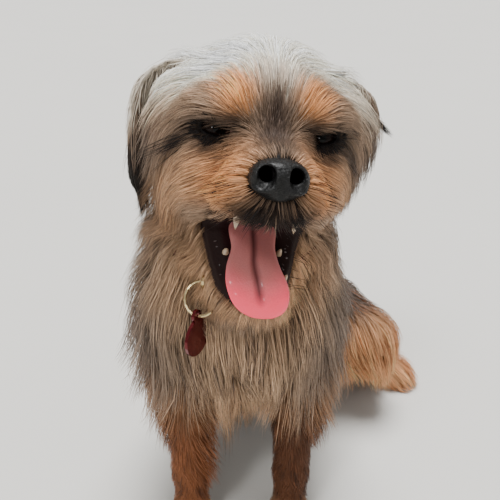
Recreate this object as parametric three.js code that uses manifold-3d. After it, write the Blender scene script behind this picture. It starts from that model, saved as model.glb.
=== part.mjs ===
// A Yorkshire terrier, life size, sitting with its head turned up, its mouth open and its tongue out.
// Millimetres, +Z up. The dog faces -Y, so +X is its own left side. The floor is Z = 0.
// The coat is built of flat, tapered locks, each rooted in the body that it grows from.

import * as THREE from "three";
import { mergeVertices } from "three/addons/utils/BufferGeometryUtils.js";
import Module from "manifold-3d";

const wasm = await Module();
wasm.setup();

// Driving dimensions
const GAP = 0.35; // clearance between nodes that touch
const HEAD = { origin: [8.4, -7, 251.6], yaw: 8, pitch: -14, roll: 7.7 }; // between the eyes; degrees
const JAW = { hinge: [0, 28, -26], open: 46, length: 62 }; // in the head's frame
const EYE = { side: 25, back: 5, radius: 9.5, lid: 2.2, splay: 14, wide: 16, high: 9.5 };
const NOSE = { at: [0, -37.2, -18.5], half: [11.6, 8.5, 9.4] };
const CHEST_X = -6; // the middle of the chest and of the fore paws
const LEG = { stance: 30.5, elbow: 36.5, elbowHeight: 96, wristHeight: 34 };
const SPINE = [[-6, 26, 156], [1, 64, 118], [16, 104, 82], [28, 142, 45]]; // withers to pelvis
const COLLAR = { centre: [-4, 27, 187], radius: 42.5, tilt: 8, high: 10, thick: 2.4 };
const LOOP = { radius: 3.3, wire: 0.9, bearing: 248.8 }; // degrees about Z from +X
const RING = { radius: 8.6, wire: 0.75, lean: [0.25, 0.5, 0.83] };
const TAG = { radius: 10.2, thick: 1.6, drop: 12.2, lug: 3.2, hole: 1.7, facing: [0.88, -0.47, 0] };
const SEED = 20;

// Vectors are plain arrays of three numbers.
const add = (a, b) => [a[0] + b[0], a[1] + b[1], a[2] + b[2]];
const sub = (a, b) => [a[0] - b[0], a[1] - b[1], a[2] - b[2]];
const scale = (a, s) => [a[0] * s, a[1] * s, a[2] * s];
const dot = (a, b) => a[0] * b[0] + a[1] * b[1] + a[2] * b[2];
const cross = (a, b) => [a[1] * b[2] - a[2] * b[1], a[2] * b[0] - a[0] * b[2], a[0] * b[1] - a[1] * b[0]];
const length = (a) => Math.hypot(a[0], a[1], a[2]);
const unit = (a) => scale(a, 1 / (length(a) || 1));
const mix = (a, b, t) => add(scale(a, 1 - t), scale(b, t));
const lerp = (a, b, t) => a + (b - a) * t;
const clamp = (x, low, high) => Math.min(Math.max(x, low), high);
const smooth = (x, from, to) => {
  const t = clamp((x - from) / (to - from), 0, 1);
  return t * t * (3 - 2 * t);
};

// A repeatable random number from 0 to 1
let seed = SEED;
function random() {
  seed = (seed * 1664525 + 1013904223) % 4294967296;
  return seed / 4294967296;
}
const vary = (share) => 1 + share * (2 * random() - 1);

// Rounded forms, each a function of a point that is negative inside and positive outside
const egg = (c, r) => (p) => {
  const q = sub(p, c);
  const near = Math.hypot(q[0] / r[0], q[1] / r[1], q[2] / r[2]);
  const slope = Math.hypot(q[0] / r[0] ** 2, q[1] / r[1] ** 2, q[2] / r[2] ** 2);
  return slope < 1e-9 ? -Math.min(...r) : (near * (near - 1)) / slope;
};
const limb = (a, b, ra, rb) => (p) => {
  const along = sub(b, a);
  const t = clamp(dot(sub(p, a), along) / dot(along, along), 0, 1);
  return length(sub(p, mix(a, b, t))) - lerp(ra, rb, t);
};
const melt = (k, ...forms) => (p) =>
  forms.reduce((best, form) => {
    const d = form(p);
    const h = Math.max(k - Math.abs(best - d), 0) / k;
    return Math.min(best, d) - (h * h * k) / 4;
  }, 1e6);
const placed = (form, toLocal) => (p) => form(toLocal(p));

function outward(form, p) {
  const e = 0.4;
  return unit([0, 1, 2].map((k) => {
    const step = [0, 0, 0];
    step[k] = e;
    return form(add(p, step)) - form(sub(p, step));
  }));
}

// The head turns about the point between the eyes, and the jaw about its hinge in the head.
const radians = THREE.MathUtils.degToRad;
const headMatrix = new THREE.Matrix4()
  .makeRotationFromEuler(new THREE.Euler(radians(HEAD.pitch), radians(HEAD.roll), radians(HEAD.yaw), "ZXY"))
  .setPosition(...HEAD.origin);
const jawMatrix = headMatrix.clone()
  .multiply(new THREE.Matrix4().makeRotationX(radians(JAW.open)).setPosition(...JAW.hinge));
const applied = (matrix) => (p) => new THREE.Vector3(...p).applyMatrix4(matrix).toArray();
const fromHead = applied(headMatrix);
const toHead = applied(headMatrix.clone().invert());
const fromJaw = applied(jawMatrix);
const toJaw = applied(jawMatrix.clone().invert());

// Closed surfaces and solids
function solidOf(geometry) {
  const bare = geometry.clone();
  bare.deleteAttribute("normal");
  bare.deleteAttribute("uv");
  const merged = mergeVertices(bare, 1e-4);
  const vertProperties = new Float32Array(merged.attributes.position.array);
  const triVerts = new Uint32Array(merged.index.array);
  return new wasm.Manifold(new wasm.Mesh({ numProp: 3, vertProperties, triVerts }));
}

function geometryOf(solid) {
  const mesh = solid.getMesh();
  const geometry = new THREE.BufferGeometry();
  geometry.setAttribute("position", new THREE.BufferAttribute(mesh.vertProperties, 3));
  geometry.setIndex(new THREE.BufferAttribute(mesh.triVerts, 1));
  return geometry;
}

function solidFromFaces(points, faces) {
  const vertProperties = new Float32Array(points.flat());
  const closed = (list) => {
    const triVerts = new Uint32Array(list.flat());
    return new wasm.Manifold(new wasm.Mesh({ numProp: 3, vertProperties, triVerts }));
  };
  const solid = closed(faces);
  return solid.volume() > 0 ? solid : closed(faces.map(([a, b, c]) => [a, c, b]));
}

const join = (...solids) => wasm.Manifold.union(solids.flat());

// The largest closed piece
function largest(solid) {
  const parts = solid.decompose();
  return parts.reduce((best, part) => (part.volume() > best.volume() ? part : best));
}

// Rings of equal count joined into a closed skin, with a point at each end.
// The two halves of the rings are split alike, so a thin flap doesn't cross itself.
function ringed(start, rings, end) {
  const sides = rings[0].length;
  const points = [start, ...rings.flat(), end];
  const faces = [];
  for (let j = 0; j < sides; j++) {
    const next = (j + 1) % sides;
    faces.push([0, 1 + next, 1 + j]);
    for (let i = 0; i + 1 < rings.length; i++) {
      const a = 1 + i * sides;
      const b = a + sides;
      if (j < sides / 2) faces.push([a + j, a + next, b + next], [a + j, b + next, b + j]);
      else faces.push([a + j, a + next, b + j], [a + next, b + next, b + j]);
    }
    const last = 1 + (rings.length - 1) * sides;
    faces.push([last + j, last + next, points.length - 1]);
  }
  return solidFromFaces(points, faces);
}

// A point along a bent line, and its direction there
function along(line, t) {
  const curve = new THREE.CatmullRomCurve3(line.map((p) => new THREE.Vector3(...p)), false, "centripetal");
  const share = clamp(t, 0, 1);
  return { at: curve.getPointAt(share).toArray(), way: curve.getTangentAt(share).toArray() };
}

// A depth can be one number or change from point to point.
const valueAt = (depth, p) => (typeof depth === "function" ? depth(p) : depth);

// Walks from a point inside a form to its surface, grown by a depth.
function cast(form, from, way, grow = 0) {
  const nearEnough = 0.02;
  let reach = 0;
  for (let i = 0; i < 90; i++) {
    const at = add(from, scale(way, reach));
    const left = valueAt(grow, at) - form(at);
    if (left < nearEnough) break;
    reach += Math.max(left * 0.7, nearEnough);
  }
  return add(from, scale(way, reach));
}

// A skin over a form, cast from a line inside it. up keeps the rings from twisting.
function wrap(form, line, { rings, sides, caps = 3, up = [0, 0, 1], grow = 0, turn = 0 }) {
  const ring = (t, lean) => {
    const { at, way } = along(line, t);
    const right = unit(cross(way, up));
    const over = cross(right, way);
    return Array.from({ length: sides }, (_, j) => {
      const a = ((j + turn) / sides) * 2 * Math.PI;
      const flat = add(scale(right, Math.cos(a)), scale(over, Math.sin(a)));
      const ray = add(scale(flat, Math.cos(lean)), scale(way, Math.sin(lean)));
      return cast(form, at, unit(ray), grow);
    });
  };
  const leans = Array.from({ length: caps }, (_, i) => ((i + 1) / (caps + 1)) * (Math.PI / 2));
  const all = [
    ...leans.toReversed().map((lean) => ring(0, -lean)),
    ...Array.from({ length: rings }, (_, i) => ring(i / (rings - 1), 0)),
    ...leans.map((lean) => ring(1, lean)),
  ];
  const first = along(line, 0);
  const last = along(line, 1);
  return ringed(cast(form, first.at, scale(first.way, -1), grow), all, cast(form, last.at, last.way, grow));
}

// A bar of changing oval section along a line of stations: { at, wide, thick, face }, with half sizes.
// groove sinks the middle of the face, and curl bends the whole section up at its edges.
function bar(stations, sides = 8, grow = 0) {
  const rings = stations.map((s, i) => {
    const before = stations[Math.max(i - 1, 0)].at;
    const after = stations[Math.min(i + 1, stations.length - 1)].at;
    const way = unit(sub(after, before));
    const side = unit(cross(way, s.face));
    const face = cross(side, way);
    return Array.from({ length: sides }, (_, j) => {
      const a = (j / sides) * 2 * Math.PI;
      const across = Math.cos(a) * (s.wide + grow);
      const sunk = (s.groove || 0) * Math.max(0, Math.sin(a)) ** 3;
      const bent = (s.curl || 0) * Math.cos(a) ** 2;
      const high = Math.sin(a) * (s.thick + grow) - sunk + bent;
      return add(s.at, add(scale(side, across), scale(face, high)));
    });
  });
  const first = stations[0];
  const last = stations[stations.length - 1];
  const startWay = unit(sub(first.at, stations[1].at));
  const endWay = unit(sub(last.at, stations[stations.length - 2].at));
  return ringed(
    add(first.at, scale(startWay, first.thick * 0.7 + grow)),
    rings,
    add(last.at, scale(endWay, last.thick * 0.9 + grow)),
  );
}

// One lock of the coat: a flat blade with a low ridge, which leaves its root, follows the lie of the
// hair over the form below it and thins to a point. room is the space that its neighbours leave for it.
const LONG_LOCK = 30;
const LOCK_RINGS = {
  long: [
    { s: 0.24, wide: 0.78, thick: 1 },
    { s: 0.52, wide: 1, thick: 0.85 },
    { s: 0.79, wide: 0.62, thick: 0.6 },
  ],
  short: [
    { s: 0.32, wide: 0.92, thick: 1 },
    { s: 0.7, wide: 0.8, thick: 0.7 },
  ],
};
const STRIDES = 3; // steps between two rings
const FLOOR_GAP = 1.2;
const ROOT_LIFT = 0.1; // as a share of the lift at the tip
function lock({ root, form, lie, long, wide, thick, lift, sink, fall = 0 }) {
  const sections = LOCK_RINGS[long > LONG_LOCK ? "long" : "short"];
  const centres = [sub(root, scale(outward(form, root), sink))];
  let p = root;
  let travelled = 0;
  for (const s of [...sections.map((section) => section.s), 1]) {
    for (let part = 0; part < STRIDES; part++) {
      const stride = (s - travelled) / (STRIDES - part);
      travelled += stride;
      const hanging = smooth(form(p), lift * 1.2, lift * 3) * 0.7 + fall * travelled;
      const way = unit(mix(lie(p), [0, 0, -1], clamp(hanging, 0, 1)));
      p = add(p, scale(way, stride * long));
      const short = lift * lerp(ROOT_LIFT, 1, travelled) - form(p);
      if (short > 0) p = add(p, scale(outward(form, p), short));
      p[2] = Math.max(p[2], thick + FLOOR_GAP);
    }
    centres.push(p);
  }
  // Each ring lies flat on the form, but turns only half as far as that asks, so that the blade stays whole.
  const sides = [];
  sections.forEach((section, i) => {
    const way = unit(sub(centres[i + 2], centres[i]));
    const level = unit(cross(way, outward(form, centres[i + 1])));
    const before = sides[i - 1] || level;
    const kept = unit(sub(before, scale(way, dot(before, way))));
    sides.push(unit(mix(kept, dot(kept, level) < 0 ? scale(level, -1) : level, 0.5)));
  });
  const build = (grow) => {
    const rings = sections.map((section, i) => {
      const c = centres[i + 1];
      const way = unit(sub(centres[i + 2], centres[i]));
      const side = sides[i];
      const face = cross(side, way);
      const half = (section.wide * wide) / 2;
      const high = (section.thick * thick) / 2;
      const edge = half + grow * (1 + half / high);
      return [
        add(c, add(scale(side, edge), scale(face, -high - grow))),
        add(c, scale(face, high + 1.1 * grow)),
        add(c, add(scale(side, -edge), scale(face, -high - grow))),
      ];
    });
    const tip = centres[centres.length - 1];
    const tipWay = unit(sub(tip, centres[centres.length - 2]));
    return ringed(centres[0], rings, add(tip, scale(tipWay, grow * 3)));
  };
  return { solid: build(0), room: build(GAP) };
}

// Rows of locks on a form. Each row sits at a share t of a line inside the form, and its roots are cast
// outwards between two angles round that line. A row that goes all round is staggered with the next.
function plant({ form, over = form, depth, line, up, rows, lie, thick = 2.6, sink = 4, spread = 0.12 }) {
  return rows.flatMap(({ t, from, to, count, long, wide, lift, fall = 0.25, lean = 0 }, r) => {
    const { at, way } = along(line, t);
    const right = unit(cross(way, up));
    const above = cross(right, way);
    const allRound = to - from === 360;
    const first = allRound ? (r % 2) / 2 : 0;
    const gaps = allRound ? count : Math.max(count - 1, 1);
    return Array.from({ length: count }, (_, i) => {
      const a = radians(lerp(from, to, (first + i) / gaps) + 5 * (2 * random() - 1));
      const flat = add(scale(right, Math.cos(a)), scale(above, Math.sin(a)));
      const ray = unit(add(flat, scale(way, lean)));
      return lock({
        root: cast(form, at, ray, depth),
        form: (p) => over(p) - valueAt(depth, p),
        lie,
        long: long * vary(spread),
        wide: wide * vary(spread),
        thick,
        lift: lift * (1 + 0.15 * (i % 2)),
        sink,
        fall,
      });
    });
  });
}

// The body under the coat, in forms that melt into one another
const chestAt = (side, x, y, z) => [CHEST_X + side * x, y, z];
const headEgg = (x, y, z, r) => placed(egg([x, y, z], r), toHead);
const pair = (make) => [make(-1), make(1)];

const torsoForm = melt(
  18,
  limb(SPINE[0], SPINE[1], 43, 47),
  limb(SPINE[1], SPINE[2], 47, 38),
  limb(SPINE[2], SPINE[3], 38, 43),
  ...pair((side) => egg(chestAt(side, 36, 22, 138), [14, 25, 34])),
  egg([CHEST_X, 2, 146], [30, 21, 36]),
  egg([-3, 48, 172], [24, 24, 22]),
);
const neckForm = melt(12, limb([-5, 27, 176], [2, 25, 204], 38, 34), egg([0, 40, 196], [30, 26, 26]));
const skullForm = placed(
  melt(
    9,
    egg([0, 27, 3], [34, 36, 31]),
    egg([0, 6, 8], [27, 20, 20]),
    ...pair((side) => egg([side * 21, 20, -16], [16, 21, 18])),
    ...pair((side) => egg([side * 20, -2, 11], [12, 9, 6])),
    ...pair((side) => egg([side * 24, 8, 0], [14, 11, 13])),
    limb([0, 0, -16], [0, -26, -19], 18.5, 14.5),
    ...pair((side) => egg([side * 8.5, -23, -25], [10.5, 13, 11])),
    ...pair((side) => egg([side * 19, 9, -33], [7, 12, 9])),
  ),
  toHead,
);
const jawForm = placed(
  melt(
    7,
    ...pair((side) => limb([side * 19, -4, -9], [side * 9, -JAW.length + 11, -14], 10, 7.5)),
    egg([0, -JAW.length + 6, -14], [10.5, 9, 8]),
    egg([0, -30, -16], [16, 28, 9]),
  ),
  toJaw,
);
const forelegForm = (side) => melt(
  8,
  limb(chestAt(side, LEG.elbow, 22, 118), chestAt(side, LEG.elbow, 16, LEG.elbowHeight), 17, 15),
  limb(chestAt(side, LEG.elbow, 16, LEG.elbowHeight), chestAt(side, 33, 8, 66), 15, 11.5),
  limb(chestAt(side, 33, 8, 66), chestAt(side, 31.5, 1, LEG.wristHeight), 11.5, 10),
  egg(chestAt(side, LEG.stance, -8, 11), [13, 17, 12.5]),
);
const HIND = [
  { hip: [9, 150, 62], knee: [-31, 112, 70], hock: [-26, 158, 18], toes: [-50, 104, 10] },
  { hip: [44, 148, 62], knee: [88, 106, 72], hock: [84, 160, 20], toes: [124, 126, 10] },
];
const thighForm = ({ hip, knee }) => melt(
  10,
  limb(hip, knee, 33, 19),
  egg(mix(hip, knee, 0.45), [26, 36, 30]),
);
const shankForm = ({ knee, hock }) => limb(knee, hock, 17, 11);
const footForm = ({ hock, toes }) => melt(5, limb(hock, toes, 10.5, 10), egg(toes, [15, 13, 10.5]));
const TAIL = [[37, 166, 44], [42, 186, 26], [34, 204, 13], [12, 212, 10], [-14, 208, 9]];

// Everything that hair can lie over, for the locks that fall from one part over the next
const collarMatrix = new THREE.Matrix4()
  .makeRotationX(radians(COLLAR.tilt))
  .setPosition(...COLLAR.centre);
const toCollar = applied(collarMatrix.clone().invert());
const HAIR_UNDER_COLLAR = 5;
function collarForm(p) {
  const [x, y, z] = toCollar(p);
  const outside = Math.max(Math.hypot(x, y) - COLLAR.radius - COLLAR.thick, 0);
  const beside = Math.max(Math.abs(z) - COLLAR.high / 2, 0);
  return Math.hypot(outside, beside) + HAIR_UNDER_COLLAR;
}
const fleshForm = melt(10, torsoForm, neckForm, skullForm);
const bodyForm = (p) => Math.min(fleshForm(p), collarForm(p));

// Skin lines, from which each core is cast
const headLine = [[0, 34, 2], [0, 12, -3], [0, -10, -14], [0, -27, -20]].map(fromHead);
const jawLine = [[0, -12, -13], [0, -34, -15], [0, -54, -14]].map(fromJaw);
const neckLine = [[-5, 28, 170], [-2, 27, 186], [2, 26, 206]];
const torsoLine = [[-6, 24, 164], [0, 60, 122], [16, 104, 82], [27, 140, 50]];
const legLine = (side) => [
  chestAt(side, LEG.elbow, 20, LEG.elbowHeight + 14),
  chestAt(side, 33.5, 9, 66),
  chestAt(side, 31.5, 1, LEG.wristHeight),
  chestAt(side, LEG.stance, -3, 15),
  chestAt(side, LEG.stance, -14, 10),
];
const headWay = (d) => sub(fromHead(d), fromHead([0, 0, 0]));
const headUp = headWay([0, 0, 1]);
const headFront = headWay([0, -1, 0]);
const headBack = headWay([0, 1, 0]);
const jawUp = sub(fromJaw([0, 0, 1]), fromJaw([0, 0, 0]));

// Each node: what it shows, and the room that the nodes after it leave for it
const nodes = [];
function node(name, solid, room, look) {
  nodes.push({ name, solid, room, look });
}
const floorBlock = (() => {
  const block = new THREE.BoxGeometry(600, 600, 600);
  block.translate(0, 0, 300);
  return solidOf(block);
})();

const LOOKS = {
  gold: { color: 0xc08a55, roughness: 0.85 },
  blond: { color: 0xc9b08c, roughness: 0.85 },
  steel: { color: 0x6f6a6c, roughness: 0.8 },
  dark: { color: 0x3a3433, roughness: 0.85 },
  leather: { color: 0x161414, roughness: 0.4 },
  eye: { color: 0x120c08, roughness: 0.08 },
  tongue: { color: 0xd9737a, roughness: 0.5 },
  strap: { color: 0x4a1014, roughness: 0.6 },
  goldWire: { color: 0xd2c6a4, roughness: 0.25, metalness: 1 },
  redMetal: { color: 0x5a1018, roughness: 0.3, metalness: 0.8 },
};

// Eyes
for (const [side, name] of [[-1, "eye_right"], [1, "eye_left"]]) {
  const ball = (radius, sides) => {
    const sphere = new THREE.SphereGeometry(radius, sides, sides * 0.7);
    sphere.translate(side * EYE.side, EYE.back, 0);
    return solidOf(sphere.applyMatrix4(headMatrix));
  };
  node(name, ball(EYE.radius, 13), ball(EYE.radius + EYE.lid / 2, 9), LOOKS.eye);
}

// The nose leather, with its nostrils and the cleft below them
function noseForm(grow) {
  const [w, d, h] = NOSE.half;
  const part = (offset, shares) => egg(
    add(NOSE.at, offset),
    [w * shares[0] + grow, d * shares[1] + grow, h * shares[2] + grow],
  );
  return placed(
    melt(
      5,
      part([0, 0, 1.5], [0.94, 1, 0.72]),
      ...pair((side) => part([side * w * 0.5, 0.5, -1], [0.52, 0.9, 0.7])),
      part([0, 1, -h * 0.55], [0.34, 0.75, 0.5]),
    ),
    toHead,
  );
}
const noseLine = [[0, NOSE.at[1] + 3, NOSE.at[2]], [0, NOSE.at[1] - 2, NOSE.at[2]]].map(fromHead);
const noseShape = { rings: 2, sides: 14, caps: 3, up: headUp };
const NOSTRIL = [
  { x: 2.6, y: -7, z: 0.5, wide: 2.6, thick: 2.4 },
  { x: 4.4, y: -10, z: 0, wide: 2.8, thick: 2.5 },
  { x: 6.6, y: -9.5, z: -0.6, wide: 2.6, thick: 2.1 },
  { x: 9.2, y: -7.5, z: -1.8, wide: 1.6, thick: 1.2 },
  { x: 13.2, y: -4, z: -3, wide: 1.1, thick: 0.9 },
];
const nostrils = pair((side) => bar(
  NOSTRIL.map(({ x, y, z, wide, thick }) => ({
    at: fromHead(add(NOSE.at, [side * x, y, z])),
    wide,
    thick,
    face: headFront,
  })),
  6,
));
const cleft = bar(
  [-3, -7, -12].map((z) => ({
    at: fromHead(add(NOSE.at, [0, -NOSE.half[1] + 0.6, z])),
    wide: 0.6,
    thick: 1.4,
    face: headFront,
  })),
  4,
);
node(
  "nose",
  wrap(noseForm(0), noseLine, noseShape).subtract(join(nostrils, cleft)),
  wrap(noseForm(2 * GAP), noseLine, noseShape),
  LOOKS.leather,
);

// The tongue lies along the jaw and hangs over the lower teeth
const TONGUE = [
  { at: [0, -6, -7], wide: 9, thick: 4.5 },
  { at: [0, -20, -3.5], wide: 11.5, thick: 4.5, groove: 0.8 },
  { at: [0, -36, -2], wide: 12.5, thick: 3.8, groove: 1.4 },
  { at: [0, -52, -0.5], wide: 13.5, thick: 3.2, groove: 1.5 },
  { at: [0, -63, 0], wide: 14.5, thick: 2.9, groove: 1.3 },
  { at: [0, -71, -3], wide: 12.8, thick: 2.7, groove: 1 },
  { at: [0, -76, -8], wide: 8.5, thick: 2.3, groove: 0.5 },
];
const tongue = (grow) => bar(
  TONGUE.map((s) => ({ ...s, at: fromJaw(s.at), face: jawUp })),
  12,
  grow,
);
node("tongue", tongue(0), tongue(GAP), LOOKS.tongue);

// Collar, loop, ring and tag
function collarBand(grow) {
  const low = COLLAR.radius - grow;
  const far = COLLAR.radius + COLLAR.thick + grow;
  const half = COLLAR.high / 2 + grow;
  const profile = [[low, -half], [far, -half], [far, half], [low, half], [low, -half]];
  const ring = new THREE.LatheGeometry(profile.map(([x, y]) => new THREE.Vector2(x, y)), 26);
  ring.rotateX(Math.PI / 2);
  return solidOf(ring.applyMatrix4(collarMatrix));
}
function torus(outer, wire, matrix) {
  return solidOf(new THREE.TorusGeometry(outer, wire, 5, Math.round(8 + outer * 1.4)).applyMatrix4(matrix));
}

const bearing = radians(LOOP.bearing);
const loopWay = [Math.cos(bearing), Math.sin(bearing), 0];
const round = cross([0, 0, 1], loopWay);
const loopReach = COLLAR.radius + COLLAR.thick + GAP + LOOP.radius + LOOP.wire;
const loopAt = applied(collarMatrix)(scale(loopWay, loopReach));
const ringUp = unit(RING.lean);
const ringSide = unit(sub(round, scale(ringUp, dot(round, ringUp))));
const ringAt = sub(loopAt, scale(ringUp, RING.radius));
const holeAt = sub(ringAt, scale(ringUp, RING.radius));
const basis = (x, y, z, at) => new THREE.Matrix4()
  .makeBasis(new THREE.Vector3(...x), new THREE.Vector3(...y), new THREE.Vector3(...z))
  .setPosition(...at);
const loopMatrix = basis(loopWay, [0, 0, 1], cross(loopWay, [0, 0, 1]), loopAt);
const ringMatrix = basis(ringSide, ringUp, cross(ringSide, ringUp), ringAt);
function tagSolid(grow) {
  const shape = new THREE.Shape();
  shape.absarc(0, -TAG.drop, TAG.radius + grow, Math.PI * 0.58, Math.PI * 2.42, false);
  shape.absarc(0, 0, TAG.lug + grow, -Math.PI * 0.16, Math.PI * 1.16, false);
  if (grow === 0) {
    const hole = new THREE.Path();
    hole.absarc(0, 0, TAG.hole, 0, Math.PI * 2, true);
    shape.holes.push(hole);
  }
  const depth = TAG.thick + 2 * grow;
  const plate = new THREE.ExtrudeGeometry(shape, { depth, bevelEnabled: false, curveSegments: 8 });
  plate.translate(0, 0, -TAG.thick / 2 - grow);
  const face = unit(TAG.facing);
  const across = cross([0, 0, 1], face);
  return solidOf(plate.applyMatrix4(basis(across, [0, 0, 1], face, holeAt)));
}
node("tag", tagSolid(0), tagSolid(GAP), LOOKS.redMetal);
for (const [name, size, matrix] of [["tag_ring", RING, ringMatrix], ["collar_loop", LOOP, loopMatrix]]) {
  const wire = (grow) => torus(size.radius, size.wire + grow, matrix);
  node(name, wire(0), wire(GAP), LOOKS.goldWire);
}
node("collar_band", collarBand(0), collarBand(GAP), LOOKS.strap);

// The head: skull and muzzle, lids round each eye, the roof of the mouth and the upper teeth
function tooth(at, frame, size, long, down) {
  const cone = new THREE.ConeGeometry(size, long, 6, 1);
  if (down) cone.rotateX(-Math.PI / 2);
  else cone.rotateX(Math.PI / 2);
  cone.translate(at[0], at[1], at[2] + (down ? -long / 2 : long / 2));
  return solidOf(cone.applyMatrix4(frame));
}
const lids = pair((side) => {
  const lid = new THREE.SphereGeometry(EYE.radius + EYE.lid, 11, 7);
  lid.scale(1.1, 1, 0.98);
  lid.translate(side * EYE.side, EYE.back + 0.3, 0);
  return solidOf(lid.applyMatrix4(headMatrix));
});
const eyeSlits = pair((side) => {
  const half = EYE.wide / 2;
  const shape = new THREE.Shape();
  shape.moveTo(-half, -0.8 * side);
  shape.quadraticCurveTo(0, EYE.high * 1.05, half, 0.8 * side);
  shape.quadraticCurveTo(0, -EYE.high * 0.95, -half, -0.8 * side);
  const slit = new THREE.ExtrudeGeometry(shape, { depth: 22, bevelEnabled: false, curveSegments: 7 });
  slit.rotateX(Math.PI / 2);
  slit.rotateZ(radians(side * EYE.splay));
  slit.translate(side * EYE.side, EYE.back, 0);
  return solidOf(slit.applyMatrix4(headMatrix));
});
const roof = wrap(
  placed(egg([0, -8, -39], [14, 25, 10]), toHead),
  [[0, 4, -39], [0, -18, -39]].map(fromHead),
  { rings: 3, sides: 12, caps: 2, up: headUp },
);
const INCISORS = [-5.4, -1.8, 1.8, 5.4];
const upperTeeth = [
  ...INCISORS.map((x) => tooth([x, -27.5 + Math.abs(x) * 0.25, -33], headMatrix, 1.5, 6, true)),
  ...pair((side) => tooth([side * 10, -23.5, -32], headMatrix, 2.2, 12, true)),
  ...pair((side) => tooth([side * 13, -13, -32], headMatrix, 2.6, 8, true)),
];
const headShape = { rings: 10, sides: 20, caps: 3, up: headUp };
const jawShape = { rings: 7, sides: 12, caps: 2, up: jawUp };

function carveHead(solid) {
  return join(solid, lids).subtract(join(eyeSlits, roof)).add(join(upperTeeth));
}
const lowerTeeth = [
  ...INCISORS.map((x) => tooth([x * 0.93, -62.5 + Math.abs(x) * 0.28, -9], jawMatrix, 1.3, 5.5, false)),
  ...pair((side) => tooth([side * 8.6, -JAW.length + 3.5, -9.5], jawMatrix, 2.1, 11, false)),
  ...pair((side) => tooth([side * 12.5, -JAW.length + 17, -8], jawMatrix, 2.4, 7, false)),
];

// Each ear: a cupped flap that leaves the side of the skull and folds down
const EARS = {
  right: {
    line: [[-27, 29, 13], [-40, 32, 21], [-52, 35, 18], [-59, 38, 6], [-61, 41, -10], [-58, 45, -27]],
    face: [[0, -1, 0], [0.1, -1, -0.2], [0.5, -0.8, -0.6], [0.9, -0.5, -0.2], [1, -0.4, 0], [1, -0.4, 0]],
  },
  left: {
    line: [[27, 28, 13], [40, 31, 22], [52, 35, 20], [59, 40, 9], [60, 45, -6], [57, 50, -21]],
    face: [[0, -1, 0], [-0.1, -1, -0.2], [-0.5, -0.8, -0.5], [-0.8, -0.5, -0.3], [-1, -0.3, 0], [-1, 0, 0]],
  },
};
const EAR_WIDE = [9, 14, 16.5, 16, 13, 6];
const EAR_CURL = [7, 7, 5, 3.5, 3, 1.5];
const flap = ({ line, face }, grow) => bar(
  line.map((p, i) => ({
    at: fromHead(p),
    wide: EAR_WIDE[i],
    thick: 1.6,
    curl: EAR_CURL[i],
    face: headWay(face[i]),
  })),
  8,
  grow,
);

// How thick the dense undercoat is, which the locks grow from
const COAT = { head: 3, jaw: 2, neck: HAIR_UNDER_COLLAR, torso: 6, foreleg: 2, hindleg: 3, tail: 1 };

// The coat of the head thins to nothing round the eyes, the nose and the mouth.
const bareSpots = [
  ...pair((side) => [side * EYE.side, EYE.back - 3, 0]),
  add(NOSE.at, [0, 4, 0]),
  [0, -14, -39],
].map(fromHead);
const coatShare = (p) => smooth(Math.min(...bareSpots.map((spot) => length(sub(p, spot)))), 9, 42);
const headDepth = (p) => COAT.head * coatShare(p);
const headWrap = (gap) => wrap(skullForm, headLine, { ...headShape, grow: (p) => headDepth(p) + gap });
const jaw = (gap) => wrap(jawForm, jawLine, { ...jawShape, grow: COAT.jaw + gap });
// The coat lies flatter behind the tag.
const tagAt = add(holeAt, [0, 0, -TAG.drop / 2]);
const flatter = (p) => lerp(0.25, 1, smooth(length(sub(p, tagAt)), 14, 44));
const neckDepth = (p) => COAT.neck * flatter(p);
const torsoDepth = (p) => COAT.torso * flatter(p);

// The head and neck part in one plane and the neck and torso in another.
function slab(at, normal) {
  const block = new THREE.BoxGeometry(500, 500, 500);
  block.translate(0, 0, 250);
  const z = unit(normal);
  const x = unit(cross([0, 1, 0], z));
  return solidOf(block.applyMatrix4(basis(x, cross(z, x), z, at)));
}
const PARTING = { normal: [0, -0.33, 0.94], head: [0, -8, 203], torso: [0, 27, 176] };
const downwards = scale(PARTING.normal, -1);
const lowered = (at, by) => add(at, scale(unit(downwards), by));
function neck(gap) {
  const grow = (p) => neckDepth(p) + gap;
  const uncut = wrap(neckForm, neckLine, { rings: 5, sides: 20, caps: 2, up: [0, 1, 0], grow });
  const aboveNeck = slab(lowered(PARTING.head, GAP), PARTING.normal);
  const belowNeck = slab(lowered(PARTING.torso, gap), downwards);
  return uncut.subtract(aboveNeck).subtract(belowNeck);
}
function torso(gap) {
  const grow = (p) => torsoDepth(p) + gap;
  return wrap(torsoForm, torsoLine, { rings: 10, sides: 18, caps: 2, grow });
}
function foreleg(side, gap) {
  const shape = { rings: 8, sides: 10, caps: 2, up: [1, 0, 0] };
  return wrap(forelegForm(side), legLine(side), { ...shape, grow: COAT.foreleg + gap });
}
const thighLine = ({ hip, knee }) => [mix(hip, knee, 0.1), mix(hip, knee, 0.85)];
const shankLine = ({ knee, hock }) => [knee, hock];
const footLine = ({ hock, toes }) => [mix(hock, toes, 0.05), mix(hock, toes, 1.02)];
function hindleg(bones, gap) {
  const grow = COAT.hindleg + gap;
  const up = [0.2, 0.3, 1];
  return join(
    wrap(thighForm(bones), thighLine(bones), { rings: 5, sides: 12, caps: 2, up, grow }),
    wrap(shankForm(bones), shankLine(bones), { rings: 3, sides: 10, caps: 1, up: [1, 0, 0], grow }),
    wrap(footForm(bones), footLine(bones), { rings: 4, sides: 10, caps: 2, up, grow }),
  );
}
const tailRadius = (i) => 9 - i;
function tail(gap) {
  const upright = [0, 0.3, 1];
  const stations = TAIL.map((at, i) => ({ at, wide: tailRadius(i), thick: tailRadius(i), face: upright }));
  return bar(stations, 10, COAT.tail + gap);
}

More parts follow.
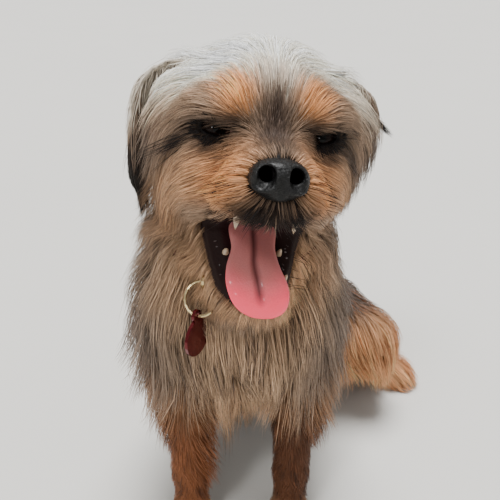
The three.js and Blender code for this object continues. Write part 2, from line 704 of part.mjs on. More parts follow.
// The lie of the hair, as a direction at each point
const headLie = (way) => (p) => headWay(way(toHead(p)));
const outwards = (x) => clamp(x / 6, -1, 1);
const sideways = headLie(([x, y]) => [outwards(x), lerp(0.25, 0.7, smooth(y, 5, 40)), -0.25]);
const backwards = headLie(([x]) => [0.25 * outwards(x), 0.7, -0.9]);
const cheekwards = headLie(([x]) => [0.45 * outwards(x), 0.5, -0.85]);
const whiskerwards = headLie(([x]) => [1.0 * outwards(x), 0.3, -0.45]);
const browwards = headLie(([x]) => [0.5 * outwards(x), 0.25, 0.8]);
const down = () => [0, 0, -1];
const spineWay = unit(sub(SPINE[3], SPINE[0]));
const tailwards = () => unit(add(scale(spineWay, 0.75), [0, 0, -0.55]));

// A coated node is its core with its locks, and it leaves room for both.
function coated(name, core, room, locks, look) {
  const solid = join(core, locks.map((one) => one.solid));
  node(name, solid, join(room, locks.map((one) => one.room)), look);
}

const crownLine = [[0, 44, 2], [0, -3, 5]].map(fromHead);
const napeLine = [[0, 30, 22], [0, 30, -16]].map(fromHead);
const cheekLine = [[0, 32, -10], [0, -4, -14]].map(fromHead);
const muzzleLine = [[0, 2, -16], [0, -25, -19]].map(fromHead);
const onHead = { form: skullForm, over: bodyForm, depth: headDepth };
const onMuzzle = { ...onHead, up: headUp, thick: 1.8, sink: 3 };
const otherSide = (row) => ({ ...row, from: 180 - row.from, to: 180 - row.to });
const bothSides = (rows) => rows.flatMap((row) => [row, otherSide(row)]);
const headLocks = [
  ...plant({ ...onHead, line: crownLine, up: headUp, lie: sideways, rows: bothSides([
    { t: 0.06, from: 80, to: 42, count: 2, long: 40, wide: 23, lift: 9 },
    { t: 0.38, from: 84, to: 44, count: 2, long: 40, wide: 23, lift: 10 },
    { t: 0.7, from: 84, to: 46, count: 2, long: 38, wide: 22, lift: 9 },
    { t: 0.97, from: 78, to: 78, count: 1, long: 31, wide: 18, lift: 7 },
    { t: 0.5, from: 14, to: 14, count: 1, long: 36, wide: 22, lift: 8 },
  ]) }),
  ...plant({ ...onHead, line: napeLine, up: headBack, lie: backwards, rows: [
    { t: 0.15, from: 45, to: 135, count: 3, long: 42, wide: 30, lift: 9 },
    { t: 0.75, from: 28, to: 152, count: 4, long: 42, wide: 27, lift: 10 },
  ] }),
  ...plant({ ...onHead, line: cheekLine, up: headUp, lie: cheekwards, rows: bothSides([
    { t: 0.15, from: -6, to: -46, count: 2, long: 42, wide: 21, lift: 9 },
    { t: 0.65, from: -14, to: -50, count: 2, long: 40, wide: 18, lift: 9 },
  ]) }),
  ...plant({ ...onMuzzle, line: muzzleLine, lie: whiskerwards, rows: bothSides([
    { t: 0.3, from: 20, to: 20, count: 1, long: 25, wide: 12, lift: 5 },
    { t: 0.75, from: 40, to: -5, count: 2, long: 22, wide: 10, lift: 5 },
    { t: 0.92, from: -38, to: -38, count: 1, long: 17, wide: 9, lift: 4 },
  ]) }),
  ...plant({ ...onMuzzle, line: crownLine, lie: browwards, rows: bothSides([
    { t: 1, from: 50, to: 20, count: 2, long: 15, wide: 9, lift: 4, lean: 0.7, fall: 0 },
  ]) }),
];
const belowHead = slab(PARTING.head, downwards);
coated(
  "head",
  carveHead(headWrap(0).subtract(belowHead)),
  headWrap(GAP).subtract(roof),
  headLocks,
  LOOKS.blond,
);

// The lower jaw, with its short beard
const jawLocks = plant({
  form: jawForm, over: melt(6, jawForm, bodyForm), depth: COAT.jaw, line: jawLine, up: jawUp,
  lie: () => [0, 0.15, -0.9], thick: 2, sink: 3,
  rows: [
    { t: 0.4, from: 200, to: 340, count: 4, long: 28, wide: 15, lift: 8 },
    { t: 0.97, from: 195, to: 345, count: 4, long: 22, wide: 12, lift: 5, lean: 0.4 },
  ],
});
coated("lower_jaw", jaw(0).add(join(lowerTeeth)), jaw(GAP), jawLocks, LOOKS.gold);

// The ears, with hair that hangs past the leather
for (const [name, ear] of [["ear_right", EARS.right], ["ear_left", EARS.left]]) {
  const line = ear.line.map(fromHead);
  const locks = [0.36, 0.66, 0.95].flatMap((t) => {
    const { at, way } = along(line, t);
    const face = headWay(ear.face[Math.round(t * 5)]);
    const across = unit(cross(way, face));
    const out = unit(cross(way, across));
    const half = lerp(EAR_WIDE[Math.floor(t * 5)], EAR_WIDE[Math.ceil(t * 5)], (t * 5) % 1);
    return [-0.5, 0.5].map((x) => {
      const curl = EAR_CURL[Math.round(t * 5)] * x * x;
      const root = add(at, add(scale(across, x * half), scale(out, 1.2 - curl)));
      return lock({
        root,
        form: skullForm,
        lie: () => unit(add(scale(way, 0.8), add(scale([0, 0, -1], 0.35), scale(across, 0.25 * x)))),
        long: 29 * vary(0.1),
        wide: 17 * vary(0.08),
        thick: 2,
        lift: 3,
        sink: 0.6,
        fall: 0.5,
      });
    });
  });
  coated(name, flap(ear, 0), flap(ear, GAP), locks, LOOKS.dark);
}

// The neck, under its ruff
const neckLocks = plant({
  form: neckForm, over: bodyForm, depth: neckDepth, line: neckLine, up: [0, 1, 0], lie: down, thick: 3,
  rows: [
    { t: 0.96, from: -30, to: 210, count: 7, long: 52, wide: 36, lift: 9 },
    { t: 0.02, from: 218, to: 322, count: 4, long: 50, wide: 32, lift: 6 },
  ],
});
coated("neck", neck(0), neck(GAP), neckLocks, LOOKS.blond);

// The trunk: chest and shoulders, then back, flanks and rump
const chestLine = [[CHEST_X, 28, 176], [CHEST_X + 1, 30, 98]];
const onTorso = { form: torsoForm, over: bodyForm, depth: torsoDepth, thick: 3.2 };
const torsoLocks = [
  ...plant({ ...onTorso, line: chestLine, up: [0, 1, 0], lie: down, rows: [
    { t: 0.26, from: 170, to: 370, count: 7, long: 54, wide: 33, lift: 12 },
    { t: 0.6, from: 178, to: 362, count: 6, long: 48, wide: 35, lift: 13 },
    { t: 0.96, from: 205, to: 335, count: 4, long: 33, wide: 30, lift: 11 },
  ] }),
  ...plant({ ...onTorso, line: torsoLine, up: [0, 0, 1], lie: tailwards, rows: [
    { t: 0.18, from: 10, to: 170, count: 5, long: 54, wide: 38, lift: 12 },
    { t: 0.42, from: -20, to: 200, count: 6, long: 56, wide: 41, lift: 13 },
    { t: 0.68, from: 25, to: 155, count: 4, long: 52, wide: 38, lift: 12 },
    { t: 0.95, from: 40, to: 140, count: 3, long: 48, wide: 36, lift: 10 },
    { t: 1, from: 60, to: 120, count: 2, long: 34, wide: 32, lift: 8, lean: 1.1 },
    { t: 0.5, from: 235, to: 305, count: 2, long: 36, wide: 30, lift: 7 },
  ] }),
];
coated("torso", torso(0), torso(GAP), torsoLocks, LOOKS.steel);

// Legs
for (const [side, name] of [[-1, "foreleg_right"], [1, "foreleg_left"]]) {
  const locks = plant({
    form: forelegForm(side), depth: COAT.foreleg, line: legLine(side), up: [1, 0, 0],
    lie: () => [0, 0.12, -1], thick: 2.2, sink: 3,
    rows: [
      { t: 0.12, from: 0, to: 360, count: 4, long: 40, wide: 22, lift: 6 },
      { t: 0.38, from: 0, to: 360, count: 4, long: 34, wide: 19, lift: 5 },
      { t: 0.64, from: 0, to: 360, count: 4, long: 25, wide: 16, lift: 4.5 },
    ],
  });
  coated(name, foreleg(side, 0), foreleg(side, GAP), locks, LOOKS.gold);
}
for (const [bones, name] of [[HIND[0], "hindleg_right"], [HIND[1], "hindleg_left"]]) {
  const side = bones.knee[0] > bones.hip[0] ? 1 : -1;
  const outer = side > 0 ? 180 : 0;
  const thigh = thighForm(bones);
  const shank = shankForm(bones);
  const foot = footForm(bones);
  const legForm = melt(6, thigh, shank, foot);
  const onLeg = { over: legForm, depth: COAT.hindleg, up: [0, 0, 1] };
  const hockward = unit(sub(bones.hock, bones.knee));
  const toeward = unit(sub(bones.toes, bones.hock));
  const locks = [
    ...plant({ ...onLeg, form: thigh, line: thighLine(bones), lie: () => [0.4 * side, -0.35, -0.8], rows: [
      { t: 0.15, from: outer + 25 * side, to: outer - 120 * side, count: 4, long: 46, wide: 31, lift: 8 },
      { t: 0.68, from: outer + 30 * side, to: outer - 165 * side, count: 4, long: 40, wide: 29, lift: 8 },
      { t: 1, from: outer, to: outer - 150 * side, count: 3, long: 33, wide: 20, lift: 6, lean: 0.5 },
    ] }),
    ...plant({ ...onLeg, form: shank, line: shankLine(bones), lie: () => hockward, rows: [
      { t: 0.45, from: 10, to: 170, count: 2, long: 30, wide: 20, lift: 6 },
    ] }),
    ...plant({ ...onLeg, form: foot, line: footLine(bones), thick: 2, sink: 3, lie: () => toeward, rows: [
      { t: 0.3, from: 30, to: 150, count: 2, long: 27, wide: 16, lift: 4 },
    ] }),
  ];
  coated(name, hindleg(bones, 0), hindleg(bones, GAP), locks, LOOKS.gold);
}

// The tail
const tailBone = (at, i) => limb(TAIL[i], at, tailRadius(i), tailRadius(i + 1));
const tailForm = melt(4, ...TAIL.slice(1).map(tailBone));
const tailLocks = plant({
  form: tailForm, depth: COAT.tail, line: TAIL, up: [0, 0, 1], thick: 2.2, sink: 3,
  lie: (p) => unit([-smooth(p[1], 180, 205), smooth(-p[1], -212, -185), -0.3]),
  rows: [
    { t: 0.25, from: 20, to: 160, count: 2, long: 36, wide: 20, lift: 5 },
    { t: 0.55, from: 20, to: 160, count: 2, long: 34, wide: 18, lift: 4.5 },
    { t: 0.95, from: 20, to: 160, count: 2, long: 31, wide: 14, lift: 3 },
  ],
});
coated("tail", tail(0), tail(GAP), tailLocks, LOOKS.steel);

// Each node gives way to those before it, stands on the floor and keeps its largest closed body.
const dog = new THREE.Group();
const whole = new THREE.Box3();
const meshes = [];
const taken = [];
for (const { name, solid, room, look } of nodes) {
  const clear = taken.length ? solid.subtract(join(taken)) : solid;
  const body = largest(clear.intersect(floorBlock));
  taken.push(room, body);
  const geometry = geometryOf(body);
  geometry.computeVertexNormals();
  const mesh = new THREE.Mesh(geometry, new THREE.MeshStandardMaterial(look));
  mesh.name = name;
  geometry.computeBoundingBox();
  whole.union(geometry.boundingBox);
  meshes.push(mesh);
}
dog.add(...meshes);
dog.position.set(-(whole.min.x + whole.max.x) / 2, -(whole.min.y + whole.max.y) / 2, -whole.min.z);

export default dog;
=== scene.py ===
# A Yorkshire terrier, life size, sitting with its head up, its mouth open and its tongue out.
# Forms are worked out in the maker's millimetres: the dog faces -Y, +X is its own left side and the
# floor is Z = 0. Meshes are then put in the frame's metres.

import math

import bpy
import numpy as np
from mathutils.kdtree import KDTree
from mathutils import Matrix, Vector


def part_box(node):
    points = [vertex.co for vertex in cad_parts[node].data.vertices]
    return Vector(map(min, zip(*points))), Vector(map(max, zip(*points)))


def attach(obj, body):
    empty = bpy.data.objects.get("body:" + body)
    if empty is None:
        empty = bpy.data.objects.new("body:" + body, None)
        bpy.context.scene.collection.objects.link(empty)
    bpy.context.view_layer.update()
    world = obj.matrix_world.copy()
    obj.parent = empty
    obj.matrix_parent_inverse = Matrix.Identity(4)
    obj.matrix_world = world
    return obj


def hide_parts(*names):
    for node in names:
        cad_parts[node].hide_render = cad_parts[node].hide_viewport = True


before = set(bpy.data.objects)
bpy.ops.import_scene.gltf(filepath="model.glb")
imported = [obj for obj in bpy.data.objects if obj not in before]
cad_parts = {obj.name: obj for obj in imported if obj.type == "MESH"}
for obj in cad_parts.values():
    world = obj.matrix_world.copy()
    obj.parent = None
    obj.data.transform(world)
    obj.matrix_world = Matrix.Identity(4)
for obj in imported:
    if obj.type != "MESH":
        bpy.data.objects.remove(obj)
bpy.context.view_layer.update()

# Driving sizes and places, most of them the solids' own. Angles are in degrees.
SIDES = {"right": -1, "left": 1}
AHEAD, UP, DOWN = (0, -1, 0), (0, 0, 1), np.array([0, 0, -1.0])
# The head's frame stands between the eyes, and the jaw's frame at the hinge, in the head's frame
HEAD_AT = np.array([8.4, -7.0, 251.6])
HEAD_YAW, HEAD_PITCH, HEAD_ROLL = 8, -14, 7.7
JAW_HINGE = np.array([0, 28, -26])
JAW_OPEN = 46
EYE_SIDE, EYE_BACK, EYE_RADIUS = 25, 5, 9.5
EYE_SPLAY, EYE_TILT = -8, 9
# The slit between the lids: its half sizes, and how it sits on the right and the left eye
EYE_OPEN = np.array([7, 14, 2.6])
EYE_LOW = {-1: -0.9, 1: -0.2}
LID_THICK = 1.3
NOSE_AT = np.array([0, -37.2, -18.5])
NOSE_HALF = np.array([11.6, 8.5, 9.4])
UPPER_LIP = [(27, 6, -36), (20, -8, -37), (15, -22, -37), (9, -33, -36), (0, -37, -35)]
LOWER_LIP = [
    (29, -1, -3), (26, -14, -3), (22, -28, -5), (19, -42, -7), (15, -53, -8), (9, -61, -8), (0, -65, -9),
]
UPPER_LIP_ROLL, LOWER_LIP_ROLL, LIP_SUNK = 1.7, 1.1, -0.4
LOWER_LIP_LEFT_SHARE = 0.86
CHEST_X = -6
COLLAR_CENTRE = np.array([-4, 27, 187])
COLLAR_RADIUS, COLLAR_TILT, COLLAR_HIGH, COLLAR_THICK = 42.5, 8, 10, 2.4
TAG_PLACE = np.array([-25, -26, 163])
NECK, NECK_GIRTH = [(-5, 27, 176), (2, 25, 204)], [38, 34]
SPINE = [(-6, 26, 156), (1, 64, 118), (16, 104, 82), (28, 142, 45)]
SPINE_GIRTH = [43, 47, 38, 43]
TAIL = [(37, 166, 44), (42, 186, 26), (34, 204, 13), (12, 212, 10), (-14, 208, 9)]
TAIL_GIRTH = [9, 8, 7, 6, 5]
# A fore leg from shoulder to foot, outwards from the middle of the chest
FORELEG = [(36.5, 22, 118), (36.5, 16, 96), (33, 8, 66), (31.5, 1, 34), (30.8, -5, 13)]
FORELEG_GIRTH = [17, 15, 11.5, 10, 9.5]
FOREFOOT, FOREFOOT_HALF = (30.5, -9, 9.5), (12.4, 13, 9.5)
# Each hind leg's hip, knee, hock and toes, and the girth at both ends of its three limbs
HIND_LEGS = {
    "right": [(9, 150, 62), (-31, 112, 70), (-26, 158, 18), (-50, 104, 10)],
    "left": [(44, 148, 62), (89, 107, 63), (84, 160, 20), (119, 133, 10)],
}
THIGH_GIRTH, SHANK_GIRTH, HOCK_GIRTH = (33, 19), (17, 11), (10.5, 9)
THIGH_HALF, HINDFOOT_HALF = (26, 36, 30), (13, 11.5, 9.5)
FORE_TOE, HIND_TOE, TOE_SPREAD = 4.6, 4.3, 12
SOLE = 0.4
# Each ear's line from root to tip, the way its hollow side faces, and its half width and curl
EAR_LINE = {
    "right": [
        (-27, 29, 13), (-40, 32, 20), (-52.5, 35, 17.5), (-59, 37.5, 7), (-60.5, 40, -10), (-59, 43, -27),
    ],
    "left": [
        (27, 28, 13), (39, 31, 20), (50, 33.5, 16.5), (55, 36.5, 7), (55, 41.5, -6), (52, 46.5, -20),
    ],
}
EAR_FACE = {
    "right": [(0, -1, 0), (0.1, -1, -0.2), (0.6, -0.7, -0.6), (1, -0.25, -0.2), (1, -0.2, 0), (1, -0.2, 0)],
    "left": [(0, -1, 0), (-0.2, -1, -0.2), (-0.7, -0.6, -0.4), (-1, -0.15, -0.2), (-1, -0.1, 0), (-1, 0, 0)],
}
EAR_WIDE = [7, 11, 14.5, 15, 12, 6]
EAR_CURL = [7, 7, 5, 3.5, 3, 1.5]
EAR_THICK = 1.8

SEED = 7
random = np.random.default_rng(SEED)

# The frame's own place, from the collar, which is the same all round its middle
METRE = 1000
collar_low, collar_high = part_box("collar_band")
SHIFT = (np.array(collar_low) + np.array(collar_high)) * METRE / 2 - COLLAR_CENTRE


def to_frame(points):
    return (np.asarray(points, float) + SHIFT) / METRE


def unit(vectors):
    vectors = np.asarray(vectors, float)
    return vectors / np.maximum(np.linalg.norm(vectors, axis=-1, keepdims=True), 1e-9)


def smooth(value, low, high):
    t = np.clip((value - low) / (high - low), 0, 1)
    return t * t * (3 - 2 * t)


def mix(a, b, t):
    return a + (b - a) * t


def turn(axis, degrees):
    c, s = math.cos(math.radians(degrees)), math.sin(math.radians(degrees))
    i, j = {"X": (1, 2), "Y": (2, 0), "Z": (0, 1)}[axis]
    matrix = np.eye(3)
    matrix[i, i] = matrix[j, j] = c
    matrix[i, j], matrix[j, i] = -s, s
    return matrix


HEAD_TURN = turn("Z", HEAD_YAW) @ turn("X", HEAD_PITCH) @ turn("Y", HEAD_ROLL)
JAW_TURN = turn("X", JAW_OPEN)


def from_head(points):
    return np.asarray(points, float) @ HEAD_TURN.T + HEAD_AT


def to_head(points):
    return (points - HEAD_AT) @ HEAD_TURN


def from_jaw(points):
    return from_head(np.asarray(points, float) @ JAW_TURN.T + JAW_HINGE)


def to_jaw(points):
    return (to_head(points) - JAW_HINGE) @ JAW_TURN


def curve_through(rows, count):
    """Smooth values between rows, by a Catmull-Rom curve."""
    rows = np.array(rows, float)
    padded = np.concatenate([rows[:1] * 2 - rows[1:2], rows, rows[-1:] * 2 - rows[-2:-1]])
    made = []
    for x in np.linspace(0, len(rows) - 1 - 1e-6, count):
        i, t = int(x), x - int(x)
        a, b, c, d = padded[i : i + 4]
        square, cube = 2 * a - 5 * b + 4 * c - d, 3 * b - a - 3 * c + d
        made.append(0.5 * (2 * b + (c - a) * t + square * t**2 + cube * t**3))
    return np.array(made)


# Rounded forms: functions of points, negative inside and positive outside
def egg(centre, radii):
    centre, radii = np.array(centre, float), np.array(radii, float)

    def form(points):
        q = (points - centre) / radii
        near = np.linalg.norm(q, axis=1)
        slope = np.linalg.norm(q / radii, axis=1)
        return np.where(slope < 1e-6, -radii.min(), near * (near - 1) / np.maximum(slope, 1e-6))

    return form


def limb(a, b, radius_a, radius_b):
    """A rounded rod between two places, which tapers between two radii."""
    a, b = np.array(a, float), np.array(b, float)
    along = b - a

    def form(points):
        t = np.clip((points - a) @ along / (along @ along), 0, 1)
        return np.linalg.norm(points - a - t[:, None] * along, axis=1) - mix(radius_a, radius_b, t)

    return form


def melt(soft, *forms):
    """Forms that run into one another where they are less than soft apart."""

    def form(points):
        best = forms[0](points)
        for other in forms[1:]:
            value = other(points)
            share = np.maximum(soft - np.abs(best - value), 0) / soft
            best = np.minimum(best, value) - share * share * soft / 4
        return best

    return form


def carved(form, cutter, soft):
    uncut = melt(soft, lambda points: -form(points), cutter)
    return lambda points: -uncut(points)


def placed(form, to_local):
    return lambda points: form(to_local(points))


def limbs(line, radii):
    return [limb(line[i], line[i + 1], radii[i], radii[i + 1]) for i in range(len(line) - 1)]


def chain(line, radii, soft=1):
    return melt(soft, *limbs(line, radii))


def both(centre, radii):
    """An egg on each side, placed by the left one."""
    x, y, z = centre
    return [egg((side * x, y, z), radii) for side in SIDES.values()]


def on_chest(side, x, y, z):
    return (CHEST_X + side * x, y, z)


def close_by(form, centre, reach):
    """Works a slow form out only near it. Further off, its distance is only roughly known."""
    centre = np.array(centre, float)

    def rough(points):
        values = np.linalg.norm(points - centre, axis=1) - reach
        near = values < 14
        values[near] = form(points[near])
        return values

    return rough


def flap(line, faces, stations=13, reach=42):
    """An ear: a thin plate along a line, wide across it and curled towards its face."""
    rows = [(*at, *face, wide, curl) for at, face, wide, curl in zip(line, faces, EAR_WIDE, EAR_CURL)]
    rows = curve_through(rows, stations)
    line, faces, wides, curls = rows[:, :3], rows[:, 3:6], rows[:, 6], rows[:, 7]
    ways = unit(np.gradient(line, axis=0))
    across = unit(np.cross(ways, faces))

    def form(points):
        best = np.full(len(points), 1e3)
        for i in range(len(line) - 1):
            step = line[i + 1] - line[i]
            t = np.clip((points - line[i]) @ step / (step @ step), 0, 1)
            q = points - line[i] - t[:, None] * step
            side = unit(mix(across[i], across[i + 1], t[:, None]))
            way = unit(mix(ways[i], ways[i + 1], t[:, None]))
            wide = mix(wides[i], wides[i + 1], t)
            u = (q * side).sum(1)
            curl = mix(curls[i], curls[i + 1], t) * np.minimum((u / wide) ** 2, 2)
            v = (q * np.cross(side, way)).sum(1) - curl
            w = (q * way).sum(1)
            beside = np.maximum(np.abs(u) - wide + EAR_THICK, 0)
            best = np.minimum(best, np.sqrt(beside**2 + v**2 + w**2) - EAR_THICK)
        return best

    return close_by(form, (line[0] + line[-1]) / 2 * (1.1, 1, 1), reach)


def toe_places(centre, forward, toe):
    """Four toes round the front of a foot."""
    forward = unit(forward)
    side = np.array([forward[1], -forward[0], 0])
    places = []
    for across, ahead in ((-0.72, 0.55), (-0.26, 0.8), (0.26, 0.8), (0.72, 0.55)):
        at = np.array(centre) + side * across * TOE_SPREAD + forward * ahead * TOE_SPREAD
        at[2] = toe * 1.12
        places.append(at)
    return places


def paw(centre, forward, toe):
    forward = unit(forward)
    places = toe_places(centre, forward, toe)
    return [limb(at - forward * toe * 1.3, at + forward * toe * 0.35, toe, toe * 0.86) for at in places]


def slope_of(form, points, reach=0.3):
    slopes = [form(points + axis) - form(points - axis) for axis in np.eye(3) * reach]
    return unit(np.stack(slopes, 1))


def settled(points, form, height=0, rounds=6):
    """Moves points straight out or in until they stand at a height over a form."""
    points = np.array(points, float)
    for _ in range(rounds):
        points = points - slope_of(form, points) * (form(points) - height)[:, None]
    return points


# The flesh of the head, in its own frame. melt's first number is the width of the soft joint.
skull = melt(
    9,
    egg((0, 27, 3), (34, 36, 31)),  # brain case
    egg((0, 6, 8), (27, 20, 20)),  # forehead
    *both((21, 20, -16), (16, 21, 18)),  # cheeks
    *both((20, -2, 11), (12, 9, 6)),  # brows
    *both((24, 8, 0), (14, 11, 13)),  # round the eyes
    limb((0, 0, -16), (0, -26, -19), 18.5, 14.5),  # muzzle
    *both((8.5, -23, -25), (10.5, 13, 11)),  # upper lips
    *both((19, 9, -33), (7, 12, 9)),  # corners of the mouth
)
face_fullness = melt(
    8,
    egg((0, 33, 13), (32, 33, 28)),  # crown
    *both((28, 32, 6), (24, 24, 20)),  # behind the temples
    *both((32, 30, -7), (16, 21, 28)),  # below the ears
    *both((24, 12, -22), (13, 18, 18)),  # cheeks
)
palate = egg((0, -5, -41), (15, 24, 9.5))
mouth_room = egg((0, 0, -47), (21, 27, 17))
upper_lip_middle = egg((0, -30, -28), (12, 7.5, 8))
nose_seat = egg(NOSE_AT + (0, 8, -0.5), NOSE_HALF * (0.82, 0.75, 0.78))

# The lower jaw, in a frame at its hinge. Its right half is the fuller one.
jaw_bone = melt(
    7,
    *[limb((s * 19.5, -4, -9), (s * 10, -51, -14), 10.5 - s, 8.2 - 0.6 * s) for s in SIDES.values()],
    egg((0, -56, -14), (11.5, 9.5, 8.5)),  # chin
    egg((0, -30, -16), (16, 28, 9)),  # floor of the mouth
)


def both_sides(line, left_share):
    """A line drawn from the right side round to the left, where it is drawn in to a share of its width."""
    right = [(-x, y, z) for x, y, z in line]
    left = [(x * left_share, y, z) for x, y, z in line[-2::-1]]
    return np.array(right + left, float)


upper_lip = settled(both_sides(UPPER_LIP, 1), skull, LIP_SUNK)
lower_lip = settled(both_sides(LOWER_LIP, LOWER_LIP_LEFT_SHARE), jaw_bone, LIP_SUNK)


def eye_frame(side):
    centre = np.array([side * EYE_SIDE, EYE_BACK, 0])
    matrix = turn("Z", side * EYE_SPLAY) @ turn("Y", -side * EYE_TILT)
    return centre, matrix


def eyelids(side):
    """The lids' shell and the slit between them."""
    centre, matrix = eye_frame(side)
    shell = egg(centre, np.full(3, EYE_RADIUS + LID_THICK))
    slit = egg((0, -EYE_RADIUS, EYE_LOW[side]), EYE_OPEN)
    return shell, placed(slit, lambda points: (points - centre) @ matrix)


shells, slits = zip(*[eyelids(side) for side in SIDES.values()])


def whole_head():
    form = melt(9, skull, face_fullness)
    form = melt(5, form, *shells)
    form = melt(4, form, upper_lip_middle)
    form = melt(2, form, chain(upper_lip, [UPPER_LIP_ROLL] * len(upper_lip)))
    for slit in slits:
        form = carved(form, slit, 1)
    form = carved(form, palate, 2)
    return melt(3, form, nose_seat)


def foreleg(side):
    line = [on_chest(side, *at) for at in FORELEG]
    foot = on_chest(side, *FOREFOOT)
    return melt(5, *limbs(line, FORELEG_GIRTH), egg(foot, FOREFOOT_HALF), *paw(foot, AHEAD, FORE_TOE))


def hindleg(hip, knee, hock, toes):
    return melt(
        6,
        limb(hip, knee, *THIGH_GIRTH),
        egg(mix(hip, knee, 0.45), THIGH_HALF),
        limb(knee, hock, *SHANK_GIRTH),
        limb(hock, toes, *HOCK_GIRTH),
        egg(toes, HINDFOOT_HALF),
        *paw(toes, (toes - hock) * (1, 1, 0), HIND_TOE),
    )


head_form = whole_head()
jaw_form = melt(2, jaw_bone, chain(lower_lip, [LOWER_LIP_ROLL] * len(lower_lip)))
PARTS = {
    "head": placed(head_form, to_head),
    "jaw": placed(jaw_form, to_jaw),
    "neck": melt(12, *limbs(NECK, NECK_GIRTH), egg((0, 40, 196), (30, 26, 26))),
    "torso": melt(
        18,
        *limbs(SPINE, SPINE_GIRTH),
        *[egg(on_chest(side, 36, 22, 138), (14, 25, 34)) for side in SIDES.values()],  # shoulders
        egg((CHEST_X, 2, 146), (30, 21, 36)),  # breast
        egg((-3, 48, 172), (24, 24, 22)),  # withers
    ),
    "tail": melt(4, *limbs(TAIL, TAIL_GIRTH)),
}
feet = []
for side_name, side in SIDES.items():
    hip, knee, hock, toes = np.array(HIND_LEGS[side_name], float)
    PARTS["ear_" + side_name] = placed(flap(EAR_LINE[side_name], EAR_FACE[side_name]), to_head)
    PARTS["foreleg_" + side_name] = foreleg(side)
    PARTS["hindleg_" + side_name] = hindleg(hip, knee, hock, toes)
    feet.append((on_chest(side, *FOREFOOT), AHEAD, FORE_TOE))
    feet.append((toes, (toes - hock) * (1, 1, 0), HIND_TOE))
PART_NAMES = list(PARTS)
flesh = melt(7, *PARTS.values())


def whole_dog(points):
    return np.maximum(flesh(points), SOLE - points[:, 2])


# Surfaces from forms
def in_parts(form, points, size=120000):
    """A form's values, worked out for a share of the points at a time to spare memory."""
    return np.concatenate([form(points[i : i + size]) for i in range(0, len(points), size)])


def form_values(form, low, high, step):
    """Values on a grid. Far from the surface they only say which side they are on."""
    low = np.array(low, float)
    share = 4
    counts = np.ceil((np.array(high) - low) / step / share).astype(int) * share
    axes = [low[k] + (np.arange(counts[k] // share) + 0.5) * step * share for k in range(3)]
    coarse_points = np.stack(np.meshgrid(*axes, indexing="ij"), -1).reshape(-1, 3)
    values = in_parts(form, coarse_points).reshape([len(axis) for axis in axes])
    for k in range(3):
        values = np.repeat(values, share, axis=k)
    near = np.argwhere(np.abs(values) < step * share * 1.7)
    values[tuple(near.T)] = in_parts(form, low + near * step)
    return values


def surface(form, low, high, step):
    """A closed surface where the form is zero: one point in each cell that it crosses."""
    values = form_values(form, low, high, step)
    inside = values < 0
    cells = np.zeros([n - 1 for n in values.shape], int)
    corners = [(i, j, k) for i in (0, 1) for j in (0, 1) for k in (0, 1)]
    for corner in corners:
        cells += inside[tuple(slice(c, c + n) for c, n in zip(corner, cells.shape))]
    active = np.argwhere((cells > 0) & (cells < 8))
    number = np.full(cells.shape, -1)
    number[tuple(active.T)] = np.arange(len(active))
    total, crossings = np.zeros((len(active), 3)), np.zeros(len(active))
    for axis in range(3):
        ahead = np.eye(3, dtype=int)[axis]
        for corner in corners:
            if corner[axis]:
                continue
            start = active + corner
            a, b = values[tuple(start.T)], values[tuple((start + ahead).T)]
            crossed = (a < 0) != (b < 0)
            t = np.where(crossed, a / np.where(crossed, a - b, 1), 0)
            total += np.where(crossed[:, None], start + t[:, None] * ahead, 0)
            crossings += crossed
    points = np.array(low) + step * total / crossings[:, None]
    quads = []
    for axis in range(3):
        ahead, u, v = (np.eye(3, dtype=int)[(axis + k) % 3] for k in range(3))
        edge = [slice(None)] * 3
        edge[axis] = slice(0, -1)
        after = [slice(None)] * 3
        after[axis] = slice(1, None)
        starts = np.argwhere(inside[tuple(edge)] != inside[tuple(after)])
        starts = starts[(starts[:, (axis + 1) % 3] > 0) & (starts[:, (axis + 2) % 3] > 0)]
        around = [number[tuple((starts - offset).T)] for offset in (u + v, v, 0 * u, u)]
        quad = np.stack(around, 1)
        outwards = inside[tuple(starts.T)]
        quad[~outwards] = quad[~outwards][:, ::-1]
        quads.append(quad)
    return points, np.concatenate(quads)


def triangles_of(quads):
    return np.concatenate([quads[:, [0, 1, 2]], quads[:, [0, 2, 3]]])


def ring_quads(rings, around):
    """Faces between the rings of a tube, counted from its first ring."""
    quads = []
    for i in range(rings - 1):
        for j in range(around):
            a, b = i * around + j, i * around + (j + 1) % around
            quads.append((a, b, b + around, a + around))
    return np.array(quads)


def put(name, data):
    made = bpy.data.objects.new(name, data)
    bpy.context.scene.collection.objects.link(made)
    return made


def new_piece(name, points, faces, material, replaces=(), colours=None, patches=None):
    """A mesh piece that rides on the dog. faces are all of one size."""
    mesh = bpy.data.meshes.new(name)
    faces = np.asarray(faces)
    mesh.vertices.add(len(points))
    mesh.vertices.foreach_set("co", to_frame(points).astype(np.float32).ravel())
    mesh.loops.add(faces.size)
    mesh.loops.foreach_set("vertex_index", faces.astype(np.int32).ravel())
    mesh.polygons.add(len(faces))
    mesh.polygons.foreach_set("loop_start", np.arange(0, faces.size, faces.shape[1], dtype=np.int32))
    mesh.polygons.foreach_set("use_smooth", np.ones(len(faces), bool))
    if colours is not None:
        layer = mesh.color_attributes.new("coat_colour", "FLOAT_COLOR", "POINT")
        rgba = np.concatenate([colours, np.ones((len(colours), 1))], 1)
        layer.data.foreach_set("color", rgba.astype(np.float32).ravel())
    if patches is not None:
        layer = mesh.uv_layers.new(name="OFBake")
        layer.uv.foreach_set("vector", patches[faces.ravel()].astype(np.float32).ravel())
    mesh.update(calc_edges=True)
    mesh.validate()
    mesh.materials.append(material)
    piece = put(name, mesh)
    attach(piece, "root")
    if replaces:
        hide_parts(*replaces)
    return piece


